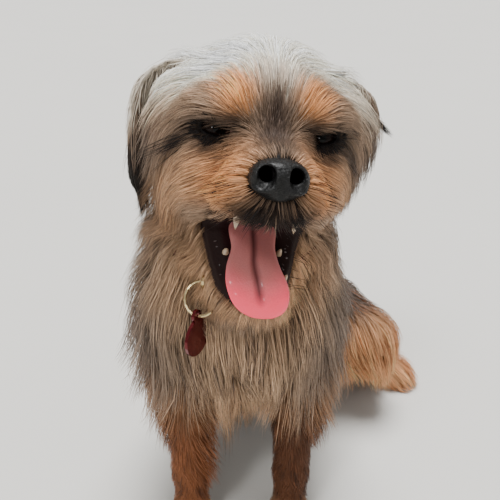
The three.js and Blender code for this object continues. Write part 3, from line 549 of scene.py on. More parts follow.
# Colours of the coat, as seen
def shade(text):
    values = np.array([int(text[i : i + 2], 16) for i in (0, 2, 4)]) / 255
    return np.where(values < 0.04045, values / 12.92, ((values + 0.055) / 1.055) ** 2.4)


# The crown's silver is painted near white: partly its own pale colour, partly painted sunlight on the top of
# the head
SUNLIT_SILVER = shade("fff8e8")
BLOND = shade("cba783")
PALE_TAN = shade("dcae86")
GREY_TAN = shade("a88d76")
ORANGE = shade("dc9a63")
CHEEK_TAN = shade("92745a")
RUST = shade("b06a3e")
STEEL = shade("80736a")
SMOKE = shade("54463e")
UMBER = shade("33251e")
SOOT = shade("1c1514")

# Marks on the head, in the head's frame and on both sides: place, half sizes, colour and strength.
# A later mark lies over the ones before it.
HEAD_MARKS = [
    # sides and back of the head
    ((22, 22, -22), (28, 28, 28), GREY_TAN, 0.9),
    ((46, 30, 2), (18, 26, 30), STEEL, 0.75),
    ((42, 22, -18), (18, 20, 18), CHEEK_TAN, 0.95),
    ((8, 66, -4), (36, 26, 38), STEEL, 0.65),
    ((34, 6, -22), (16, 20, 18), PALE_TAN * 0.86, 0.9),
    # crown, whose near-white silver is partly its own pale colour and partly painted sunlight on the top of
    # the head
    ((0, 6, 32), (30, 42, 22), SUNLIT_SILVER, 1),
    ((24, 12, 26), (18, 28, 14), SUNLIT_SILVER, 0.8),
    # brows and muzzle
    ((14, -15, 11), (8.5, 11, 8.5), ORANGE, 1),
    ((20, -24, -18), (20, 26, 19), ORANGE, 1),
    ((30, -4, -22), (12, 12, 11), PALE_TAN * 0.85, 0.7),
    # bridge of the nose
    ((0, -19, 4), (10, 11, 13), mix(SMOKE, UMBER, 0.3), 0.95),
    ((0, -32, -4), (12, 16, 10), UMBER, 0.8),
    ((0, -26, 0), (10, 9, 8), mix(SMOKE, UMBER, 0.4), 0.7),
    ((0, -18, 9), (1.5, 7, 8), UMBER, 0.8),
    # temples
    ((52, 26, 15), (14, 22, 14), mix(STEEL, UMBER, 0.35), 0.85),
    ((30, 8, 22), (14, 20, 14), mix(SUNLIT_SILVER, BLOND, 0.5), 0.5),
    # round the eyes
    ((14.5, -16, 2), (7, 8, 5.5), SOOT, 1),
    ((25, -8, -0.5), (13.5, 10, 6.8), SOOT, 1),
    ((23, -9, -7), (6.5, 6, 4.2), SOOT, 0.75),
    ((36, 1, -3), (8, 8, 5), UMBER, 0.7),
    # under the nose
    ((3, -39, -29.5), (14.5, 9, 9.5), UMBER * 0.6, 1),
]
MOUSTACHE_AT, MOUSTACHE_HALF = (5, -38, -31), (16, 12, 9)


def tinted(colour, other, share):
    """Colours drawn towards another by a share for each point."""
    return colour + (other - colour) * share[:, None]


def nearness(points, centre, half):
    far = np.linalg.norm((points - np.array(centre)) / np.array(half), axis=1)
    return 1 - smooth(far, 0.3, 1.25)


def folded(points):
    """Places with the right side laid over the left one."""
    return np.concatenate([np.abs(points[:, :1]), points[:, 1:]], 1)


# Each part's colour function gives the hair's colour, the colour of its streaks and their share
def head_colour(points):
    local = to_head(points)
    one_side = folded(local)
    x, y, z = local.T
    colour = np.tile(GREY_TAN, (len(points), 1))
    for centre, half, mark, strength in HEAD_MARKS:
        colour = tinted(colour, mark, nearness(one_side, centre, half) * strength)
    # Painted light: from the eyes up, the head's right side is painted lighter and its left side a little
    # darker, as the light falls from the right
    side_light = smooth(z, 1, 7) * (0.28 * smooth(-x, 2, 14) - 0.07 * smooth(x, 2, 14))
    colour = colour * (1 + side_light)[:, None]
    moustache = nearness(one_side, MOUSTACHE_AT, MOUSTACHE_HALF)
    often = 0.07 + 0.26 * smooth(np.abs(x), 22, 40) + 0.2 * smooth(y, 20, 50) + 0.06 * moustache
    return colour, tinted(SMOKE, GREY_TAN, moustache), often


def jaw_colour(points):
    x, y, z = to_jaw(points).T
    chin = smooth(-y, 40, 62) * smooth(-z, 12, 20)
    colour = tinted(mix(PALE_TAN, BLOND, 0.4) * 0.86, STEEL, 0.8 * chin)
    # The jaw's left side is paler: partly its own pale tan, and partly painted light, brighter than that tan,
    # where shade falls on it
    colour = tinted(colour, PALE_TAN * 1.3, 0.7 * smooth(x, 6, 14))
    return colour, SMOKE, 0.22


def ear_colour(points):
    x, _, z = to_head(points).T
    height = z - np.where(x > 0, 13, 0)
    colour = tinted(SOOT * 0.5, UMBER, smooth(height, -5, 2))
    colour = tinted(colour, mix(GREY_TAN, STEEL, 0.35), smooth(height, 1, 9))
    colour = tinted(colour, mix(GREY_TAN, SUNLIT_SILVER, 0.6), smooth(height, 8, 16))
    return colour, colour * 0.6, 0.3


def neck_colour(points):
    x, y, _ = points.T
    side = smooth(np.abs(x - CHEST_X), 14, 38)
    front = smooth(-y, -60, 5) * (1 - 0.6 * side)
    return tinted(STEEL, BLOND, front), SMOKE, 0.3


def torso_colour(points):
    x, y, z = points.T
    front = smooth(-y, -45, 12) * smooth(z, 70, 120)
    chest = front * (1 - smooth(np.abs(x - CHEST_X), 14, 50) * 0.75)
    low = 1 - smooth(z, 10, 60)
    colour = tinted(STEEL, mix(BLOND, STEEL, 0.3), chest)
    colour = tinted(colour, PALE_TAN, chest * (1 - smooth(z, 95, 130)) * 0.7)
    return tinted(colour, GREY_TAN, low * 0.7), SMOKE, 0.38 - 0.1 * front


def foreleg_colour(points):
    x, _, z = points.T
    high, pale = smooth(z, 62, 104), 1 - smooth(z, 8, 24)
    # inner is the left leg below the shoulder: it is painted darker as painted shade on the side away from
    # the light
    inner = smooth(x, -14, 10) * (1 - high)
    # The legs' brown is partly their own rust tan and partly painted shade from the body above them
    colour = tinted(mix(RUST, SMOKE, 0.4), BLOND, 0.5 * high)
    colour = tinted(colour, UMBER, 0.6 * inner)
    return tinted(colour, PALE_TAN, pale * 0.75), UMBER, 0.3 - 0.15 * pale


def hindleg_colour(points):
    x, y, z = points.T
    saddle = np.where(x > 60, 84, 74) - 0.3 * np.clip(y - 110, -20, 60)
    colour = tinted(mix(ORANGE, PALE_TAN, 0.55) * 1.2, mix(SMOKE, STEEL, 0.4), smooth(z - saddle, -14, 10))
    return tinted(colour, PALE_TAN, (1 - smooth(z, 6, 20)) * 0.25), RUST, 0.3


def tail_colour(points):
    return STEEL, UMBER, 0.35


COLOUR_OF = {
    "head": head_colour,
    "jaw": jaw_colour,
    "neck": neck_colour,
    "torso": torso_colour,
    "tail": tail_colour,
}
for side_name in SIDES:
    COLOUR_OF["ear_" + side_name] = ear_colour
    COLOUR_OF["foreleg_" + side_name] = foreleg_colour
    COLOUR_OF["hindleg_" + side_name] = hindleg_colour


def part_shares(points, reach=7):
    """How much each part of the body counts at a point, so that colours pass softly from one to the next."""
    depths = np.stack([PARTS[name](points) for name in PART_NAMES], 1)
    over = depths - depths.min(1, keepdims=True)
    shares = np.exp(-over / reach * 2)
    return shares / shares.sum(1, keepdims=True)


def coat_colour(points, shares):
    main, streak, often = np.zeros((len(points), 3)), np.zeros((len(points), 3)), np.zeros(len(points))
    for i, name in enumerate(PART_NAMES):
        used = shares[:, i] > 0.01
        if used.any():
            first, second, share = COLOUR_OF[name](points[used])
            weight = shares[used, i]
            main[used] += first * weight[:, None]
            streak[used] += second * weight[:, None]
            often[used] += share * weight
    return main, streak, often


def distance_to_line(points, line):
    return chain(line, [0] * len(line), 1e-3)(points)


def bare_skin(points):
    """How far points are from the lips and from the slits of the eyes, and which are in the mouth."""
    head, jaw = to_head(points), to_jaw(points)
    x, y, z = jaw.T
    to_lower_lip = distance_to_line(jaw, lower_lip)
    to_lips = np.minimum(distance_to_line(head, upper_lip), to_lower_lip)
    to_slits = np.minimum(*[slit(head) for slit in slits])
    in_jaw = (z > -11 + np.abs(x) * 0.25) & (np.abs(x) < 22) & (y > -62) & (y < 16)
    in_jaw &= (head[:, 2] < -33) & (to_lower_lip > 0.5)
    return to_lips, to_slits, in_jaw | (palate(head) < 1.5) | (mouth_room(head) < 0)


# Materials
def grain_group():
    """Noise that makes a colour darker and lighter over the surface, and gives its own value for bumps."""
    group = bpy.data.node_groups.new("grain", "ShaderNodeTree")
    for label, kind, value in (
        ("Colour", "NodeSocketColor", (0.8, 0.8, 0.8, 1)),
        ("Scale", "NodeSocketFloat", 400),
        ("Dark", "NodeSocketFloat", 0.8),
        ("Light", "NodeSocketFloat", 1.2),
    ):
        group.interface.new_socket(label, in_out="INPUT", socket_type=kind).default_value = value
    group.interface.new_socket("Colour", in_out="OUTPUT", socket_type="NodeSocketColor")
    group.interface.new_socket("Grain", in_out="OUTPUT", socket_type="NodeSocketFloat")
    nodes, links = group.nodes, group.links
    entry, leave = nodes.new("NodeGroupInput"), nodes.new("NodeGroupOutput")
    place = nodes.new("ShaderNodeTexCoord")
    noise = nodes.new("ShaderNodeTexNoise")
    links.new(place.outputs["Object"], noise.inputs["Vector"])
    links.new(entry.outputs["Scale"], noise.inputs["Scale"])
    noise.inputs["Detail"].default_value = 5
    spread = nodes.new("ShaderNodeMapRange")
    links.new(noise.outputs["Fac"], spread.inputs["Value"])
    links.new(entry.outputs["Dark"], spread.inputs["To Min"])
    links.new(entry.outputs["Light"], spread.inputs["To Max"])
    tint = nodes.new("ShaderNodeVectorMath")
    tint.operation = "SCALE"
    links.new(entry.outputs["Colour"], tint.inputs[0])
    links.new(spread.outputs["Result"], tint.inputs["Scale"])
    links.new(tint.outputs["Vector"], leave.inputs["Colour"])
    links.new(noise.outputs["Fac"], leave.inputs["Grain"])
    return group


grain = grain_group()


def material(name, colour=None, scale=400, dark=0.8, light=1.2, bump=0, bump_size=0.0003, **sockets):
    """A finish: its colour, or the coat's own, passes through the grain. sockets set the shader's values."""
    made = bpy.data.materials.new(name)
    made.use_nodes = True
    nodes, links = made.node_tree.nodes, made.node_tree.links
    shader = nodes["Principled BSDF"]
    texture = nodes.new("ShaderNodeGroup")
    texture.node_tree = grain
    for label, value in (("Scale", scale), ("Dark", dark), ("Light", light)):
        texture.inputs[label].default_value = value
    if colour is None:
        own = nodes.new("ShaderNodeAttribute")
        own.attribute_name = "coat_colour"
        links.new(own.outputs["Color"], texture.inputs["Colour"])
    else:
        texture.inputs["Colour"].default_value = (*colour, 1)
    links.new(texture.outputs["Colour"], shader.inputs["Base Color"])
    if bump:
        raised = nodes.new("ShaderNodeBump")
        raised.inputs["Strength"].default_value = bump
        raised.inputs["Distance"].default_value = bump_size
        links.new(texture.outputs["Grain"], raised.inputs["Height"])
        links.new(raised.outputs["Normal"], shader.inputs["Normal"])
    for label, value in sockets.items():
        shader.inputs[label.replace("_", " ")].default_value = value
    return made


hair = material("hair", scale=700, dark=0.85, light=1.15, Roughness=0.5, Specular_IOR_Level=0.2)
hide = material("hide", scale=900, bump=0.5, Roughness=0.6, Specular_IOR_Level=0.08)
leather = material(
    "nose_leather", shade("050505"), 900, dark=0.6, light=1.5, bump=1.0, bump_size=0.0011,
    Roughness=0.42, Specular_IOR_Level=0.2, Coat_Weight=0.12, Coat_Roughness=0.2,
)
# Near black and without gloss: painted shade for the hollows of the nostrils
shade_in_nostrils = material("shade_in_nostrils", shade("020101"), 900, Roughness=1.0, Specular_IOR_Level=0.0)
eyeball = material(
    "eye_wet", scale=600, dark=0.9, light=1.1,
    Roughness=0.4, Specular_IOR_Level=0.0, Coat_Weight=0.35, Coat_Roughness=0.02, Coat_IOR=1.36,
)
wet_lip = material(
    "wet_lip", shade("2a1311"), 900, bump=0.4,
    Roughness=0.4, Coat_Weight=0.9, Coat_Roughness=0.05,
)
tongue_flesh = material(
    "tongue_flesh", scale=1500, dark=0.9, light=1.2, bump=0.7,
    Roughness=0.45, Specular_IOR_Level=0.3, Coat_Weight=0.25, Coat_Roughness=0.14,
    Subsurface_Weight=0.15, Subsurface_Scale=0.003,
)
enamel = material("tooth_enamel", shade("a8937a"), 300, dark=0.9, light=1.05, Roughness=0.25, Coat_Weight=0.4)
horn = material("claw_horn", shade("2a211d"), 500, Roughness=0.35, Coat_Weight=0.2)
webbing = material("collar_webbing", shade("4a1216"), 1800, bump=0.7, bump_size=0.0005, Roughness=0.75)
gilt = material("ring_metal", shade("cdb98c"), 900, dark=0.9, light=1.05, Metallic=1.0, Roughness=0.24)
red_metal = material(
    "tag_metal", shade("5c0a13"), 700, dark=0.8, light=1.1,
    Metallic=0.75, Roughness=0.25, Coat_Weight=0.25, Coat_Roughness=0.1,
)
pale_floor = material("floor", shade("c2c0bb"), 3, dark=0.97, light=1.03, Roughness=0.8)

# The skin, one surface from nose to tail
SKIN_BOX = (-80, -64, -3), (150, 228, 296)
SKIN_STEP = 1.3
# The skin is the coat's colour darkened by this share: painted shade in the gaps between the hairs
SHADE_BETWEEN_HAIRS = 0.55
LIP_BLACK = shade("0a0707")
LIP_BROWN = shade("1f1210")
EYE_PINK = shade("8f625c")
MOUTH_RED = shade("1f0a0b")
EYE_CORNER_AT, EYE_CORNER_HALF = (17.4, -4, -2), (3.4, 5, 2.4)
FLESH_NODES = [
    "head", "lower_jaw", "ear_right", "ear_left", "neck", "torso", "foreleg_right", "foreleg_left",
    "hindleg_right", "hindleg_left", "tail",
]


def skin_colours(points, shares):
    """The coat's colour, darkened as painted shade between the hairs, with bare lips, mouth and lids and the
    seat of the nose.
    """
    local = to_head(points)
    to_lips, to_slits, in_mouth = bare_skin(points)
    to_nose = np.linalg.norm((local - NOSE_AT) / NOSE_HALF, axis=1)
    # painted shade: the coat's colour darkened for the gaps between the hairs
    colour = coat_colour(points, shares)[0] * SHADE_BETWEEN_HAIRS
    colour = tinted(colour, MOUTH_RED, in_mouth)
    colour = tinted(colour, LIP_BROWN, 1 - smooth(to_lips, 4.5, 7.5))
    colour = tinted(colour, LIP_BLACK, 1 - smooth(to_slits, 1, 4))
    colour = tinted(colour, EYE_PINK, nearness(folded(local), EYE_CORNER_AT, EYE_CORNER_HALF))
    return tinted(colour, LIP_BLACK, 1 - smooth(to_nose, 1.1, 1.3))


skin_points, skin_quads = surface(whole_dog, *SKIN_BOX, SKIN_STEP)
skin_triangles = triangles_of(skin_quads)
skin_shares = part_shares(skin_points)
skin_owner = skin_shares.argmax(1)
new_piece(
    "skin", skin_points, skin_quads, hide, replaces=FLESH_NODES,
    colours=skin_colours(skin_points, skin_shares),
)


# Hair
class Field:
    """Height over a form and the way out of it, kept on a grid for speed."""

    def __init__(self, form, low, high, step):
        self.low, self.step = np.array(low, float), step
        axes = [np.arange(a, b + step, step) for a, b in zip(low, high)]
        points = np.stack(np.meshgrid(*axes, indexing="ij"), -1).reshape(-1, 3)
        height = in_parts(form, points).reshape([len(axis) for axis in axes])
        slopes = np.gradient(height, step)
        self.table = np.stack([height, *slopes], -1)

    def __call__(self, points):
        last_cell = np.array(self.table.shape[:3]) - 1.001
        q = np.clip((points - self.low) / self.step, 0, last_cell)
        cell = q.astype(int)
        t = q - cell
        found = 0
        for i in (0, 1):
            for j in (0, 1):
                for k in (0, 1):
                    weight = np.where(i, t[:, 0], 1 - t[:, 0]) * np.where(j, t[:, 1], 1 - t[:, 1])
                    weight = weight * np.where(k, t[:, 2], 1 - t[:, 2])
                    found = found + weight[:, None] * self.table[tuple((cell + (i, j, k)).T)]
        return found[:, 0], unit(found[:, 1:])


COLLAR_TURN = turn("X", COLLAR_TILT)


def collar_cover(points):
    """The collar band, filled across and a little fuller than it is, so that no hair grows through it."""
    x, y, z = ((points - COLLAR_CENTRE) @ COLLAR_TURN).T
    outside = np.maximum(np.hypot(x, y) - COLLAR_RADIUS - COLLAR_THICK, 0)
    beside = np.maximum(np.abs(z) - COLLAR_HIGH / 2, 0)
    return np.hypot(outside, beside) - 0.5


def hair_ground(points):
    return np.minimum(whole_dog(points), collar_cover(points))


# What the hair lies on, coarser round the body than round the head
BODY_BOX, BODY_STEP = ((-110, -70, -6), (180, 262, 230)), 3
HEAD_BOX, HEAD_STEP = ((-80, -80, 130), (96, 110, 316)), 1.8
body_field = Field(hair_ground, *BODY_BOX, BODY_STEP)
head_field = Field(hair_ground, *HEAD_BOX, HEAD_STEP)

# How the head is combed, in the head's frame and on both sides: place, way, length and height
HEAD_COMB = [
    # crown
    ((1, -10, 20), (0.1, 0.4, 0.9), 22, 5),
    ((10, -8, 22), (0.5, 0.4, 0.8), 24, 6),
    ((1, 8, 35), (0.15, 0.95, 0.3), 34, 9),
    ((13, 10, 35), (0.8, 0.5, 0.1), 34, 10),
    ((2, 40, 42), (0.2, 1, 0), 36, 12),
    ((16, 40, 40), (0.8, 0.7, 0), 36, 12),
    ((26, 8, 26), (0.95, 0.3, -0.1), 34, 9),
    ((30, 30, 32), (0.9, 0.45, -0.35), 38, 10),
    # brows, bridge and round the eyes
    ((15, -14, 12), (0.35, 0.1, 0.9), 12, 3.5),
    ((27, -3, 12), (0.95, 0.2, 0.1), 26, 5),
    ((3, -18, 4), (0.12, 0.2, 1), 10, 2),
    ((4, -30, -7), (0.15, 0.6, 0.7), 6, 1.6),
    ((14, -14, -3), (0.6, 0.1, -0.5), 6, 1.2),
    ((25, -8, -9), (0.9, 0.3, -0.35), 12, 2.5),
    ((38, 8, 0), (0.75, 0.5, -0.45), 28, 6),
    # muzzle and moustache
    ((15, -28, -18), (0.95, 0.2, -0.1), 17, 5),
    ((12, -30, -9), (0.85, 0.4, 0.2), 10, 2.5),
    ((5, -38, -31), (0.65, -0.05, -0.75), 12, 3.5),
    ((15, -26, -33), (0.95, 0.15, -0.25), 12, 4),
    ((24, -6, -36), (0.9, 0.35, -0.2), 13, 4),
    # cheeks
    ((27, -4, -20), (0.9, 0.3, -0.35), 22, 7),
    ((36, 20, -28), (0.45, 0.3, -0.85), 38, 11),
    ((40, 14, -12), (0.45, 0.35, -0.85), 34, 8),
    ((31, 7, -33), (0.65, 0.6, -0.5), 24, 7),
    ((46, 28, 4), (0.45, 0.35, -0.9), 40, 8),
    ((42, 28, 24), (0.75, 0.35, -0.55), 34, 9),
    ((44, 40, 14), (0.6, 0.45, -0.8), 38, 9),
    # back of the head
    ((14, 64, 10), (0.25, 0.5, -0.85), 44, 10),
    ((12, 60, -16), (0.1, 0.2, -1), 42, 9),
    ((38, 48, 0), (0.25, 0.4, -0.9), 42, 9),
]
COMB_REACH = 8.0


def combed(table, to_local):
    """A function of points that gives the way, length and height of the hair from a comb table."""
    rows = [(np.array(at, float), np.array(way, float), long, lift) for at, way, long, lift in table]
    flip = np.array([-1, 1, 1])
    rows += [(at * flip, way * flip, long, lift) for at, way, long, lift in rows]
    places = np.stack([row[0] for row in rows])
    values = np.stack([[*unit(row[1]), row[2], row[3]] for row in rows])

    def groom(points):
        local = to_local(points)
        x, _, z = local.T
        far = ((local[:, None, :] - places[None]) ** 2).sum(2)
        weight = np.exp(-(far - far.min(1, keepdims=True)) / (2 * COMB_REACH**2))
        found = (weight / weight.sum(1, keepdims=True)) @ values
        low = smooth(-z, 6, 26)
        trim = 1 - 0.4 * smooth(x, 22, 36) * low + 0.35 * smooth(-x, 26, 40) * low
        return found[:, :3] @ HEAD_TURN.T, found[:, 3] * trim, found[:, 4] * trim

    return groom


head_groom = combed(HEAD_COMB, to_head)


def toward(x, y, z):
    """Ways from their three parts, each a number or one value for each point."""
    return np.stack(np.broadcast_arrays(x, y, z), 1)


# Each part's groom gives the hair's way, length and height
def jaw_groom(points):
    x, y, _ = to_jaw(points).T
    way = toward(0.6 * np.clip(x / 12, -1, 1), 0.3, -0.85)
    front = smooth(-y, 20, 55)
    return way @ HEAD_TURN.T, mix(28, 20, front), mix(5.5, 4, front)


def ear_groom(points):
    x, _, z = points.T
    low = 1 - smooth(z, 225, 255)
    way = toward(0.35 * np.sign(x) * smooth(z, 240, 275), 0.1, -1)
    return way, np.where(x > 0, 22, 32), np.where(x > 0, 1.6, 2.6 + 3 * low)


def flatter(points):
    """Keeps the hair low round the tag."""
    return mix(0.3, 1, smooth(np.linalg.norm(points - TAG_PLACE, axis=1), 12, 40))


def neck_groom(points):
    x, y, z = points.T
    left, right = smooth(x, 12, 34) * (1 - smooth(z, 178, 192)), smooth(-x, 12, 34)
    lift = (12 - 6.5 * left + 5 * right) * flatter(points)
    return toward(0, 0.25 * smooth(y, 30, 60), -1), 42, lift


SPINE_WAY = unit(np.array(SPINE[-1]) - np.array(SPINE[0]))


def hump(x, middle, wide):
    return np.exp(-(((x - middle) / wide) ** 2))


def torso_groom(points):
    x, y, z = points.T
    behind = smooth(y, 18, 75)
    low = 1 - smooth(z, 15, 60)
    tips = 12 + 34 * hump(x, -15, 10) - 12 * hump(x, 4, 7)
    skirt = tips * (1 - behind) * (1 - smooth(z, 100, 135)) * (1 - low)
    shoulder = smooth(-x, 28, 50) * smooth(z, 60, 90)
    elbow = smooth(-x, 30, 46) * (1 - smooth(z, 92, 118)) * (1 - behind)
    way = mix(DOWN, unit(0.75 * SPINE_WAY + 0.55 * DOWN), behind[:, None])
    way[:, 0] -= 0.45 * elbow
    lift = mix(16, 11, behind) + shoulder * 6 + 8 * elbow
    return way, mix(44, 34, behind) * mix(1, 0.7, low) + skirt, lift * flatter(points)


def foreleg_groom(points):
    x, y, z = points.T
    across = x - CHEST_X
    high = smooth(z, 20, 100)
    back = smooth(y, 4, 22) * smooth(z, 40, 80)
    outer = smooth(np.abs(across), 34, 46) * smooth(z, 52, 84)
    inner = (across < 0) * smooth(across, -32, -25) * smooth(z, 18, 55)
    long = mix(6, 18, high) + 14 * np.maximum(back, outer) + 12 * inner
    way = toward(0.3 * outer * np.sign(across) + 0.3 * inner, 0.12, -1)
    return way, long, mix(1.4, 3, high) + 12 * outer + 10 * inner


def hindleg_groom(side_name):
    _, _, hock, toes = np.array(HIND_LEGS[side_name], float)
    over_leg = np.array([0.4 * SIDES[side_name], -0.35, -0.8])
    over_foot = unit(toes - hock) + (0, 0, -0.2)

    def groom(points):
        z = points[:, 2]
        foot = 1 - smooth(z, 16, 34)
        full = smooth(z, 8, 30) * (1 - smooth(z, 60, 90))
        way = mix(over_leg, over_foot, foot[:, None])
        return way, mix(28, 17, foot) + 12 * full, mix(6, 4, foot) + 5 * full

    return groom


def tail_groom(points):
    y = points[:, 1]
    return toward(-smooth(y, 180, 205), smooth(-y, -212, -185), -0.3), 24, 5


ROOT_SUNK, LEAST_LIFT = 0.8, 0.5
LOWEST_HAIR, LOWEST_CURL = 0.7, 0.6
BLADE_TAPER, BLADE_THICK = 0.55, 0.7


def grow(field, roots, outward, groom, steps, long_share, lift_share, fall):
    """Lines of hair: each leaves its root, follows the comb over the body and falls where it stands off."""
    way, long, lift = groom(roots)
    long, lift = long * long_share, np.maximum(lift * lift_share, LEAST_LIFT)
    path = [roots - outward * ROOT_SUNK]
    at = roots
    for step in range(1, steps + 1):
        share = step / steps
        height, out = field(at)
        way, _, _ = groom(at)
        # the further a hair stands off and the nearer it is to its tip, the more it hangs
        hanging = np.clip(smooth(height, lift * 1.3, lift * 3 + 4) * 0.7 + fall * share, 0, 1)[:, None]
        way = unit(mix(unit(way), DOWN, hanging))
        # what leads into the body or off it is mostly taken out of the way
        rising = (way * out).sum(1, keepdims=True)
        kept = np.where(rising < 0, 0.9, 0.5) * (1 - hanging * 0.8)
        way = unit(way - out * rising * kept)
        at = at + way * (long / steps)[:, None]
        height, out = field(at)
        # too low a hair is lifted at once, too high a hair sinks little by little
        short = lift * share**0.7 - height
        at = at + out * np.where(short > 0, short, short * 0.22 * (1 - hanging[:, 0]))[:, None]
        at[:, 2] = np.maximum(at[:, 2], LOWEST_HAIR)
        path.append(at)
    return np.stack(path, 1)


def along_hair(path):
    """The way of each hair at each place along it."""
    way = np.empty_like(path)
    way[:, 1:-1] = path[:, 2:] - path[:, :-2]
    way[:, 0] = path[:, 1] - path[:, 0]
    way[:, -1] = path[:, -1] - path[:, -2]
    return unit(way)


def blade_faces(rings):
    """Triangles of one closed three-sided blade: its root, its rings and its tip."""
    faces = []
    tip, last = 1 + 3 * rings, 1 + 3 * (rings - 1)
    for k in range(3):
        after = (k + 1) % 3
        faces.append((0, 1 + after, 1 + k))
        for a in range(1, last, 3):
            faces.append((a + k, a + after, a + 3 + after))
            faces.append((a + k, a + 3 + after, a + 3 + k))
        faces.append((last + k, last + after, tip))
    return np.array(faces)


def hair_mesh(field, path, wide, roll):
    """Blades along lines of hair, with how far along its hair each point of a blade is."""
    count, length = path.shape[:2]
    rings = length - 2
    way = along_hair(path)[:, 1:-1]
    inner = path[:, 1:-1]
    out = field(inner.reshape(-1, 3))[1].reshape(inner.shape)
    side = unit(np.cross(way, out))
    face = np.cross(side, way)
    turned = side * np.cos(roll)[:, None, None] + face * np.sin(roll)[:, None, None]
    face = np.cross(turned, way)
    share = np.linspace(0, 1, rings)
    half = wide[:, None] * (0.5 * (1 - share**2.2 * BLADE_TAPER))[None] * np.where(share < 0.01, 0.8, 1)
    half = half[..., None]
    ring = np.stack([inner + turned * half, inner - turned * half, inner + face * half * BLADE_THICK], 2)
    points = np.concatenate([path[:, :1], ring.reshape(count, -1, 3), path[:, -1:]], 1)
    faces = blade_faces(rings)[None] + (np.arange(count) * points.shape[1])[:, None, None]
    spans = np.concatenate([[0], np.repeat((np.arange(rings) + 1) / (rings + 1), 3), [1]])
    return points.reshape(-1, 3), faces.reshape(-1, 3), spans


# How far hair stays off lips, lids and soles, and off the nose as a share of its half sizes
LIP_MARGIN, LID_MARGIN, SOLE_MARGIN, NOSE_MARGIN = 2, 1.4, 1.2, 0.9


def skin_roots(name, count, within):
    """Seeded places on the skin of one part, clear of lips, mouth, eyes and nose."""
    index = PART_NAMES.index(name)
    owners = skin_owner[skin_triangles]
    corners = skin_points[skin_triangles[(owners == index).all(1)]]
    area = np.linalg.norm(np.cross(corners[:, 1] - corners[:, 0], corners[:, 2] - corners[:, 0]), axis=1)
    a, b, c = corners[random.choice(len(corners), count, p=area / area.sum())].transpose(1, 0, 2)
    u, v = random.random((2, count))
    over = u + v > 1
    u[over], v[over] = 1 - u[over], 1 - v[over]
    roots = a + u[:, None] * (b - a) + v[:, None] * (c - a)
    to_lips, to_slits, in_mouth = bare_skin(roots)
    keep = (to_lips > LIP_MARGIN) & (to_slits > LID_MARGIN) & ~in_mouth & (roots[:, 2] > SOLE_MARGIN)
    from_nose = (to_head(roots) - NOSE_AT - (0, 0, 0.8)) / NOSE_HALF / (1, 0.8, 0.8)
    keep &= np.linalg.norm(from_nose, axis=1) > NOSE_MARGIN
    return roots[keep & within(roots)]


def unrolled(name, roots):
    """The skin of a part unrolled round its middle, as places from 0 to 1."""
    axis = {"torso": np.array(SPINE_WAY), "tail": np.array([-1.0, 0, 0])}.get(name, np.array([0, 0, 1.0]))
    across = unit(np.cross(axis, (0, 1, 0.01)))
    q = roots - roots.mean(0)
    angle = np.arctan2(q @ np.cross(axis, across), q @ across) / (2 * math.pi) + 0.5
    along = q @ axis
    along = (along - along.min()) / (along.max() - along.min() + 1e-6)
    return np.stack([0.01 + 0.98 * angle, 0.01 + 0.98 * along], 1)


PATCH = 0.003
MOST_TRIANGLES = 190000
STRAY, STRAY_WIDTH, STRAY_PULL = 0.05, 0.6, 0.1


def hair_patches(places, across, spans):
    """Each hair's own small patch at its place on the unrolled skin."""
    offsets = np.stack([across, spans - 0.5], 1) * PATCH
    return (places[:, None] + offsets[None]).reshape(-1, 2)


def lock_leaders(roots, lock):
    """For each hair, the number of the nearest hair that leads a lock."""
    count = max(len(roots) // lock, 1)
    leaders = KDTree(count)
    for i in range(count):
        leaders.insert(roots[i], i)
    leaders.balance()
    return np.array([leaders.find(root)[1] for root in roots])


def in_locks(path, outward, leader, loose, clump, frizz, sway):
    """Draws hairs towards their lock's leader, lets each lock drift and gives each hair its waves."""
    count, stations = path.shape[:2]
    spans = np.arange(stations) / (stations - 1)
    pull = clump * random.uniform(0.6, 1, count) * np.where(loose, STRAY_PULL, 1)
    pull = pull[:, None] * spans[None] ** 1.2
    path = path + (path[leader] - path) * pull[..., None]
    drift = random.normal(0, sway, (count, 3))[leader]
    drift = drift - outward * (drift * outward).sum(1, keepdims=True)
    path = path + drift[:, None] * (spans**1.6)[None, :, None]

    wave = random.uniform(0, 2 * math.pi, (count, 3))
    turns = random.uniform(0.7, 1.6, (count, 1))
    bend = frizz * np.sin(2 * math.pi * turns * spans[None])[..., None] * np.sin(wave)[:, None]
    bend += frizz * 0.7 * np.sin(5 * math.pi * turns * spans[None])[..., None] * np.cos(wave)[:, None]
    path = path + bend * spans[None, :, None] * np.where(loose, 2, 1)[:, None, None]
    path[..., 2] = np.maximum(path[..., 2], LOWEST_CURL)
    return path


TONE_SPREAD, PALE_HAIRS, PALE_TONE = 0.14, 0.12, 1.35


def hair_colours(roots, leader):
    """The colour of each hair: its place's own or the streaks', with paler and darker locks and hairs."""
    count = len(roots)
    main, streak, often = coat_colour(roots, part_shares(roots))
    lock_tone = random.normal(1, TONE_SPREAD, count)[leader]
    lock_choice = random.random(count)[leader]
    own_choice = random.random(count)
    dark = (0.6 * lock_choice + 0.4 * own_choice < often)[:, None]
    colour = np.where(dark, mix(main, streak, random.uniform(0.3, 1, (count, 1))), main)
    colour = colour * (lock_tone * random.normal(1, TONE_SPREAD, count).clip(0.6, 1.5))[:, None]
    pale = random.random(count) < PALE_HAIRS
    return colour * np.where(pale, PALE_TONE, 1)[:, None]


def anywhere(points):
    return np.ones(len(points), bool)


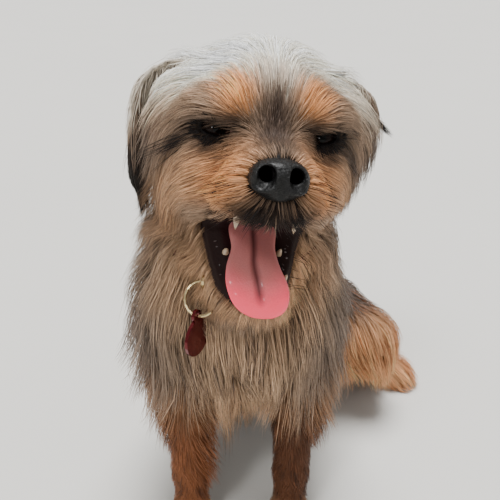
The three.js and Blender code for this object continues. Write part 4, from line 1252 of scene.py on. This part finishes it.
def coat(name, part, count, wide, rings, lock, clump, frizz, groom, within=anywhere, fall=0.25,
         root_tone=0.66, tip_tone=1.12, sway=1.5):
    """The hair of one part, in as many pieces as its triangles need."""
    field = body_field if part.startswith(("torso", "fore", "hind", "tail")) else head_field
    roots = skin_roots(part, count, within)
    count = len(roots)
    _, outward = field(roots)
    long_share = random.uniform(0.7, 1.1, count)
    lift_share = random.uniform(0.15, 1.05, count)
    path = grow(field, roots, outward, groom, rings + 1, long_share, lift_share, fall)
    leader = lock_leaders(roots, lock)
    loose = random.random(count) < STRAY
    path = in_locks(path, outward, leader, loose, clump, frizz, sway)
    colour = hair_colours(roots, leader)
    width = wide * random.uniform(0.7, 1.25, count) * np.where(loose, STRAY_WIDTH, 1)
    places = unrolled(part, roots)

    pieces = math.ceil(count / (MOST_TRIANGLES // (6 * rings)))
    for i in range(pieces):
        chosen = np.arange(i, count, pieces)
        roll = random.normal(0, 0.5, len(chosen))
        points, faces, spans = hair_mesh(field, path[chosen], width[chosen], roll)
        tone = mix(root_tone, tip_tone, spans**0.8)
        colours = (colour[chosen][:, None] * tone[None, :, None]).reshape(-1, 3).clip(0, 0.95)
        across = np.concatenate([[0], np.tile([0.5, -0.5, 0], rings), [0]])
        patches = hair_patches(places[chosen], across, spans)
        new_piece(f"{name}_{i + 1}", points, faces, hair, colours=colours, patches=patches)


def on_face(points):
    local = to_head(points)
    return local[:, 1] + 0.25 * local[:, 2] < 0


def off_face(points):
    return ~on_face(points)


# Piece, part, how many hairs and how wide, rings of a hair, hairs in a lock, how gathered, frizz
# and comb
coat("face_hair", "head", 60000, 0.34, 3, 7, 0.35, 0.25, head_groom, on_face, fall=0.06,
     root_tone=0.72, sway=0.6)
# The crown's hair roots are left less dark than elsewhere: painted sunlight on the top of the head
coat("crown_hair", "head", 24000, 0.42, 3, 18, 0.45, 0.5, head_groom, off_face,
     root_tone=1.0)
coat("jaw_hair", "jaw", 7000, 0.38, 2, 8, 0.4, 0.5, jaw_groom)
for side_name in SIDES:
    coat(f"ear_hair_{side_name}", f"ear_{side_name}", 2900, 0.52, 4, 10, 0.5, 0.3, ear_groom)
coat("neck_hair", "neck", 9200, 0.43, 3, 30, 0.5, 0.9, neck_groom, sway=3)
coat("torso_hair", "torso", 16500, 0.5, 3, 30, 0.55, 1.0, torso_groom, sway=4)
for side_name in SIDES:
    coat(f"foreleg_hair_{side_name}", f"foreleg_{side_name}", 4200, 0.45, 2, 10, 0.4, 0.3,
         foreleg_groom)
    coat(f"hindleg_hair_{side_name}", f"hindleg_{side_name}", 4400, 0.52, 3, 12, 0.4, 0.5,
         hindleg_groom(side_name))
coat("tail_hair", "tail", 1400, 0.55, 3, 12, 0.5, 0.5, tail_groom)

# Dark hairs that stand off: place on the head, way, length, how many, how far apart and how gathered
WISPS = [
    ((-31, -7, -2), (-0.8, 0.5, -0.28), 38, 16, 1.6, 0.8),
    ((-26, -12, 6), (-0.75, 0.6, 0.1), 30, 12, 1.6, 0.8),
    ((-34, -4, -5), (-0.7, 0.45, -0.5), 26, 9, 2.2, 0.5),
    ((30, -8, 4), (0.85, 0.45, 0.1), 20, 8, 1.6, 0.7),
    ((34, -5, -4), (0.7, 0.5, -0.45), 26, 12, 2, 0.7),
    ((55, 24, 18), (0.75, -0.35, -0.5), 17, 240, 3.4, 0.7),
    ((18, 0, -60), (0.9, 0.25, -0.1), 13, 5, 3.5, 0),
    ((18, -3, -70), (0.9, 0.3, -0.05), 14, 5, 3.5, 0),
]
for side in SIDES.values():
    WISPS += [
        ((side * 20, -6, 12), (side * 0.6, -0.1, 0.8), 14, 4, 3, 0.2),
        ((side * 20, -29, -20), (side * 0.95, 0.05, -0.12), 15, 40, 7, 0.15),
        ((side * 17, -30, -29), (side * 0.85, 0.05, -0.45), 14, 7, 4, 0.2),
        ((side * 6, -40, -32), (side * 0.65, -0.25, -0.75), 10, 26, 3.2, 0.2),
    ]
face_form = melt(1, head_form, placed(placed(jaw_form, to_jaw), from_head))


def wisp(at, way, long, count, spread, gathered, stations=7):
    """A tuft of long hairs, in the head's frame."""
    roots = settled(np.array(at) + random.normal(0, spread, (count, 3)), face_form)
    ways = unit(np.array(way) + random.normal(0, 0.1, (count, 3)))
    spans = np.linspace(0, 1, stations)[None, :, None]
    reach = long * random.uniform(0.6, 1.1, (count, 1, 1)) * spans
    drop = np.array([0, 0.25, -0.3]) * reach * spans * random.uniform(0.3, 1.2, (count, 1, 1))
    lines = roots[:, None] + ways[:, None] * reach + drop
    middle = np.array(at) + unit(way) * reach + drop.mean(0)
    return mix(lines, middle, gathered * spans)


def eyeliner(side, count=330, steps=4):
    """Short hairs that leave the edge of the lids and lie on the face."""
    centre, matrix = eye_frame(side)
    angle = random.uniform(0, 2 * math.pi, count)
    out = random.uniform(1.05, 1.9, count)
    x, z = EYE_OPEN[0] * np.cos(angle) * out, EYE_OPEN[2] * np.sin(angle) * out + EYE_LOW[side]
    y = -np.sqrt(np.maximum((EYE_RADIUS + LID_THICK) ** 2 - x**2 - z**2, 1))
    at = np.stack([x, y, z], 1) @ matrix.T + centre
    way = toward(np.cos(angle) + 0.5 * side, 0.2, 0.9 * np.sin(angle) - 0.1)
    way = unit(way + random.normal(0, 0.2, (count, 3))) @ matrix.T
    long = random.uniform(3, 6.5, (count, 1))
    path = [at]
    for step in range(1, steps + 1):
        at = settled(at + way * long / steps, head_form, 0.5 + 0.3 * step, 2)
        path.append(at)
    return from_head(np.stack(path, 1))


def loose_hairs(name, path, wide, roll, colour):
    points, faces, spans = hair_mesh(head_field, path, np.full(len(path), wide), roll)
    colours = np.tile(colour, (len(points), 1))
    patches = hair_patches(unrolled("head", path[:, 0]), 0 * spans, spans)
    new_piece(name, points, faces, hair, colours=colours, patches=patches)


wisp_path = from_head(np.concatenate([wisp(*row) for row in WISPS]))
loose_hairs("wisps", wisp_path, 0.26, np.zeros(len(wisp_path)), SOOT * 0.7)

# Eyes and the dark hair round them. Edges are angles from the pupil's middle, in radians.
PUPIL, IRIS, EYE_WHITE = shade("020202"), shade("150b08"), shade("170d0b")
PUPIL_EDGE, IRIS_EDGE, WHITE_EDGE = 0.22, 0.62, 0.8
BULGE, BULGE_WIDE = 0.035, 0.42


def eye_colour(polar):
    if polar < PUPIL_EDGE:
        return PUPIL
    if polar < IRIS_EDGE:
        return mix(IRIS * 1.4, IRIS, (polar - PUPIL_EDGE) / (IRIS_EDGE - PUPIL_EDGE))
    return mix(SOOT, EYE_WHITE, float(smooth(polar, IRIS_EDGE, WHITE_EDGE)))


def ball(inner, segments=48, rings=32):
    """An eye whose pole is its -Y side, coloured from that side back. inner is the nose's side of it."""
    points, colours = [], []
    for i in range(rings + 1):
        polar = math.pi * i / rings
        bulge = 1 + BULGE * math.exp(-((polar / BULGE_WIDE) ** 2))
        ring = math.sin(polar)
        for j in range(segments):
            around = 2 * math.pi * j / segments
            local = np.array([ring * math.cos(around), -math.cos(polar), ring * math.sin(around)])
            points.append(local * EYE_RADIUS * bulge)
            corner = float(smooth(local[0] * inner, 0.42, 0.6))
            colours.append(mix(eye_colour(polar), EYE_PINK * 0.5, corner))
    return np.array(points), ring_quads(rings + 1, segments)[:, ::-1], np.array(colours)


for side_name, side in SIDES.items():
    centre, matrix = eye_frame(side)
    points, faces, colours = ball(-side)
    points = from_head(points @ matrix.T + centre)
    new_piece(f"eyeball_{side_name}", points, faces, eyeball, [f"eye_{side_name}"], colours)
liner_path = np.concatenate([eyeliner(side) for side in SIDES.values()])
loose_hairs("eyeliner", liner_path, 0.42, random.normal(0, 0.5, len(liner_path)), SOOT * 0.5)


# Nose
def nose_part(offset, shares):
    return egg(NOSE_AT + offset, NOSE_HALF * shares)


# The left nostril's hole and rim and the cleft, by their places from the nose's middle
NOSTRIL = [(4.6, 2.5, 2.2), (6.4, -7, 3), (7, -8.6, 0.8), (8.8, -8.2, -1.1), (12.6, -4.4, -1.8)]
NOSTRIL_SIZE = [2.6, 3.3, 3.7, 2.6, 1.3]
NOSTRIL_RIM = [(3.4, -8.4, -3.4), (6.2, -8.8, -5), (9.2, -7.6, -4.8), (11.6, -4.6, -3.4)]
RIM_SIZE = [0.9, 1.1, 1.1, 0.8]
CLEFT_HEIGHTS = (1, -1.5, -4, -6, -8.5)
CLEFT_SIZE = [0.3, 0.5, 0.8, 0.9, 0.9]


def nose_form():
    form = melt(
        5,
        nose_part((0, 0, 2), (0.95, 1, 0.78)),
        *[nose_part((side * NOSE_HALF[0] * 0.52, 0.5, -0.2), (0.5, 0.9, 0.6)) for side in SIDES.values()],
        nose_part((0, 0.6, -4), (0.38, 0.82, 0.42)),
    )
    for side in SIDES.values():
        rim = settled([NOSE_AT + np.array([side * x, y, z]) for x, y, z in NOSTRIL_RIM], form, -0.3)
        hole = [NOSE_AT + np.array([side * x, y, z]) for x, y, z in NOSTRIL]
        form = melt(1.6, form, chain(rim, RIM_SIZE))
        form = carved(form, chain(hole, NOSTRIL_SIZE, 1.5), 0.8)
    cleft = settled([NOSE_AT + np.array([0, -NOSE_HALF[1], z]) for z in CLEFT_HEIGHTS], form)
    return carved(form, chain(cleft, CLEFT_SIZE), 1.2)


NOSE_STEP, DARK_STEP = 0.5, 0.6
points, faces = surface(nose_form(), NOSE_AT - (16, 13, 15), NOSE_AT + (16, 13, 13), NOSE_STEP)
new_piece("nose_pad", from_head(points), faces, leather, ["nose"])
# A near-black sheet closes both nostrils at the back: painted shade in their hollows
ends = melt(0.5, *[egg(NOSE_AT + (side * 6.6, -0.8, 1.4), (4.2, 3.4, 4.6)) for side in SIDES.values()])
points, faces = surface(ends, NOSE_AT - (13, 7, 6), NOSE_AT + (13, 5, 9), DARK_STEP)
new_piece("nostril_shade_sheet", from_head(points), faces, shade_in_nostrils)

# Tongue: places along its middle in the jaw's frame, with half width, half thickness and groove
TONGUE = [
    ((-1.5, -4, -2.5), 10.5, 4.5, 0),
    ((-1.7, -17, -1.6), 12, 4.5, 0.8),
    ((-1.4, -29, -1.5), 11.6, 3.8, 1.4),
    ((-1.2, -39, -1), 10.6, 3.6, 1.5),
    ((-1.5, -49, 0), 12.6, 3.5, 1.4),
    ((-0.4, -57, 0.2), 14.3, 3.6, 1.1),
    ((0.8, -62.2, -1.4), 14.3, 3.6, 0.9),
    ((2, -66, -4.6), 13, 3.4, 0.6),
    ((3, -68.3, -7.8), 10.4, 2.9, 0.4),
    ((3.6, -69.4, -10.2), 6.6, 2.2, 0.2),
]
# The third colour is painted shade in the crease down the tongue's middle
TONGUE_PINK, TONGUE_CORAL, TONGUE_CREASE_SHADE = shade("b46e6b"), shade("ff4661"), shade("3c1216")
CREASE = 1.2


def tongue_ring(station, way, share, around):
    """One ring of the tongue and its colours, share of the way from root to tip."""
    x, y, z, wide, thick, groove = station
    face = np.cross((1, 0, 0), way)
    face = face * np.sign(face[2])
    points, colours = [], []
    for j in range(around):
        a = 2 * math.pi * j / around
        c, s = math.cos(a), math.sin(a)
        # The crease down the middle, short of the tip: it sinks the surface and is painted dark there as
        # painted shade
        crease_and_shade = math.exp(-((c * 10) ** 2)) * (s > 0) * (1 - smooth(share, 0.66, 0.82))
        sunk = groove * max(0, s) ** 3 + CREASE * crease_and_shade
        across = np.sign(c) * abs(c) ** 0.9 * wide
        points.append(np.array([x, y, z]) + np.array([1, 0, 0]) * across + face * (s * thick - sunk))
        tip = smooth(share + 0.12 * abs(c), 0.5, 0.86)
        colours.append(mix(mix(TONGUE_PINK, TONGUE_CORAL, tip), TONGUE_CREASE_SHADE, crease_and_shade * 0.85))
    return points, colours


def tongue_mesh(length=48, around=72):
    stations = curve_through([(*at, wide, thick, groove) for at, wide, thick, groove in TONGUE], length)
    ways = unit(np.gradient(stations[:, :3], axis=0))
    points, colours = [], []
    for i, station in enumerate(stations):
        ring, tints = tongue_ring(station, ways[i], i / (length - 1), around)
        points += ring
        colours += tints
    root, tip = len(points), len(points) + 1
    points.append(stations[0, :3] - ways[0] * stations[0, 4] * 0.7)
    points.append(stations[-1, :3] + ways[-1] * stations[-1, 4] * 0.9)
    colours += [colours[0], colours[-1]]
    ends = []
    last = (length - 1) * around
    for j in range(around):
        after = (j + 1) % around
        ends += [(root, after, j), (tip, last + j, last + after)]
    faces = np.concatenate([triangles_of(ring_quads(length, around)), ends])
    return np.array(points), faces, np.array(colours)


points, faces, colours = tongue_mesh()
new_piece("wet_tongue", from_jaw(points), faces, tongue_flesh, ["tongue"], colours)


# Teeth, claws and the points of the lip
def spike(root, way, bend, radius, long, rings=7, around=10):
    """A tapering point that bends as it grows, as teeth and claws do."""
    root, way, bend = np.array(root, float), unit(way), np.array(bend, float)
    side = unit(np.cross(way, (0.31, 0.17, 0.93)))
    other = np.cross(way, side)
    points = []
    for i in range(rings):
        t = i / rings
        at = root + way * long * t + bend * long * t * t
        size = radius * math.sqrt(1 - t * t) * (1 - 0.35 * t)
        for j in range(around):
            a = 2 * math.pi * j / around
            points.append(at + side * size * math.cos(a) + other * size * math.sin(a))
    points += [root + way * long + bend * long, root]
    tip, base, last = rings * around, rings * around + 1, (rings - 1) * around
    faces = []
    for j in range(around):
        after = (j + 1) % around
        for a in range(0, last, around):
            b = a + around
            faces += [(a + j, a + after, b + after), (a + j, b + after, b + j)]
        faces += [(last + j, last + after, tip), (after, j, base)]
    return np.array(points), np.array(faces)


def joined(meshes):
    points, faces, total = [], [], 0
    for more_points, more_faces in meshes:
        points.append(more_points)
        faces.append(more_faces + total)
        total += len(more_points)
    return np.concatenate(points), np.concatenate(faces)


INCISORS = (-5.4, -1.8, 1.8, 5.4)
upper = [spike((x, -26.5 + abs(x) * 0.25, -31), DOWN, (0, -0.05, 0), 1.5, 5) for x in INCISORS]
upper += [spike((x, -21.5, -31), DOWN, (0, 0.1, 0), 2.3, 11.5) for x in (-13.5, 12.2)]
lower = [spike((x * 0.93, -62.5 + abs(x) * 0.28, -10), UP, (0, -0.05, 0), 1.3, 4) for x in INCISORS]
lower += [
    spike((-13.8, -40, -8), UP, (-0.05, 0, 0), 2.8, 7.5),
    spike((11.8, -38.5, -7), UP, (0.05, 0, 0), 2, 7),
    spike((13.6, -52.5, -9), UP, (0.1, 0, 0), 1.9, 9),
]
upper = [(from_head(points), faces) for points, faces in upper]
lower = [(from_jaw(points), faces) for points, faces in lower]
points, faces = joined(upper + lower)
new_piece("teeth", points, faces, enamel)

CLAW_RADIUS, CLAW_LONG, CLAW_BEND = 1.2, 4.5, (0, 0, -0.3)
claws = []
for centre, forward, toe in feet:
    forward = unit(forward)
    for at in toe_places(centre, forward, toe):
        root = at + forward * toe * 0.8 - (0, 0, toe * 0.25)
        claws.append(spike(root, forward + (0, 0, -0.35), CLAW_BEND, CLAW_RADIUS, CLAW_LONG))
points, faces = joined(claws)
new_piece("claws", points, faces, horn)

# Points along the lower lip's inner edge, all but its corners
LIP_POINTS, LIP_CORNER = 300, 12
bumps = []
for at in curve_through(lower_lip, LIP_POINTS)[LIP_CORNER:-LIP_CORNER]:
    inward = random.uniform(0.01, 0.2)
    at = at + random.normal(0, 0.5, 3) + (-inward * at[0], 4 * inward, 0.3 - 5 * inward)
    long = random.uniform(1.2, 3)
    bumps.append(spike(at, (-0.04 * at[0], -0.3, 1), (0, 0, 0), random.uniform(0.4, 1.0), long, 4, 7))
points, faces = joined(bumps)
new_piece("lip_points", from_jaw(points), faces, wet_lip)

# Collar band, loop, ring and tag, whose solids are shown as they are
for name, finish in (("collar_band", webbing), ("collar_loop", gilt), ("tag_ring", gilt), ("tag", red_metal)):
    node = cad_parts[name]
    node.data.materials.clear()
    node.data.materials.append(finish)

# Camera, lights and floor
CAMERA_AT, CAMERA_DOWN = (0, -275, 325), 26.4
SENSOR, FOCAL = 36, 43.2
lens = bpy.data.cameras.new("camera")
lens.sensor_width = SENSOR
lens.lens = FOCAL
camera = put("camera", lens)
camera.location = to_frame(CAMERA_AT)
camera.rotation_euler = (math.radians(90 - CAMERA_DOWN), 0, 0)
bpy.context.scene.camera = camera


def sun(name, bearing, height, strength, softness):
    """A soft light from afar. bearing 0 shines from the front, 90 from the dog's left."""
    light = bpy.data.lights.new(name, "SUN")
    light.energy = strength
    light.angle = math.radians(softness)
    put(name, light).rotation_euler = (math.radians(90 - height), 0, math.radians(bearing))


sun("key_light", -35, 50, 1.15, 12)
sun("fill_light", 50, 35, 0.35, 60)
sun("top_light", 170, 80, 6.4, 30)
sun("catch_light", -10, 12, 0.4, 5)

FLOOR_HALF = 30
floor_mesh = bpy.data.meshes.new("floor")
corners = [(x * FLOOR_HALF, y * FLOOR_HALF, 0) for x, y in ((-1, -1), (1, -1), (1, 1), (-1, 1))]
floor_mesh.from_pydata(corners, [], [(0, 1, 2, 3)])
floor_mesh.materials.append(pale_floor)
put("floor", floor_mesh)

world = bpy.data.worlds.new("studio")
bpy.context.scene.world = world
world.use_nodes = True
background = world.node_tree.nodes["Background"]
background.inputs["Color"].default_value = (1, 0.99, 0.97, 1)
background.inputs["Strength"].default_value = 0.45
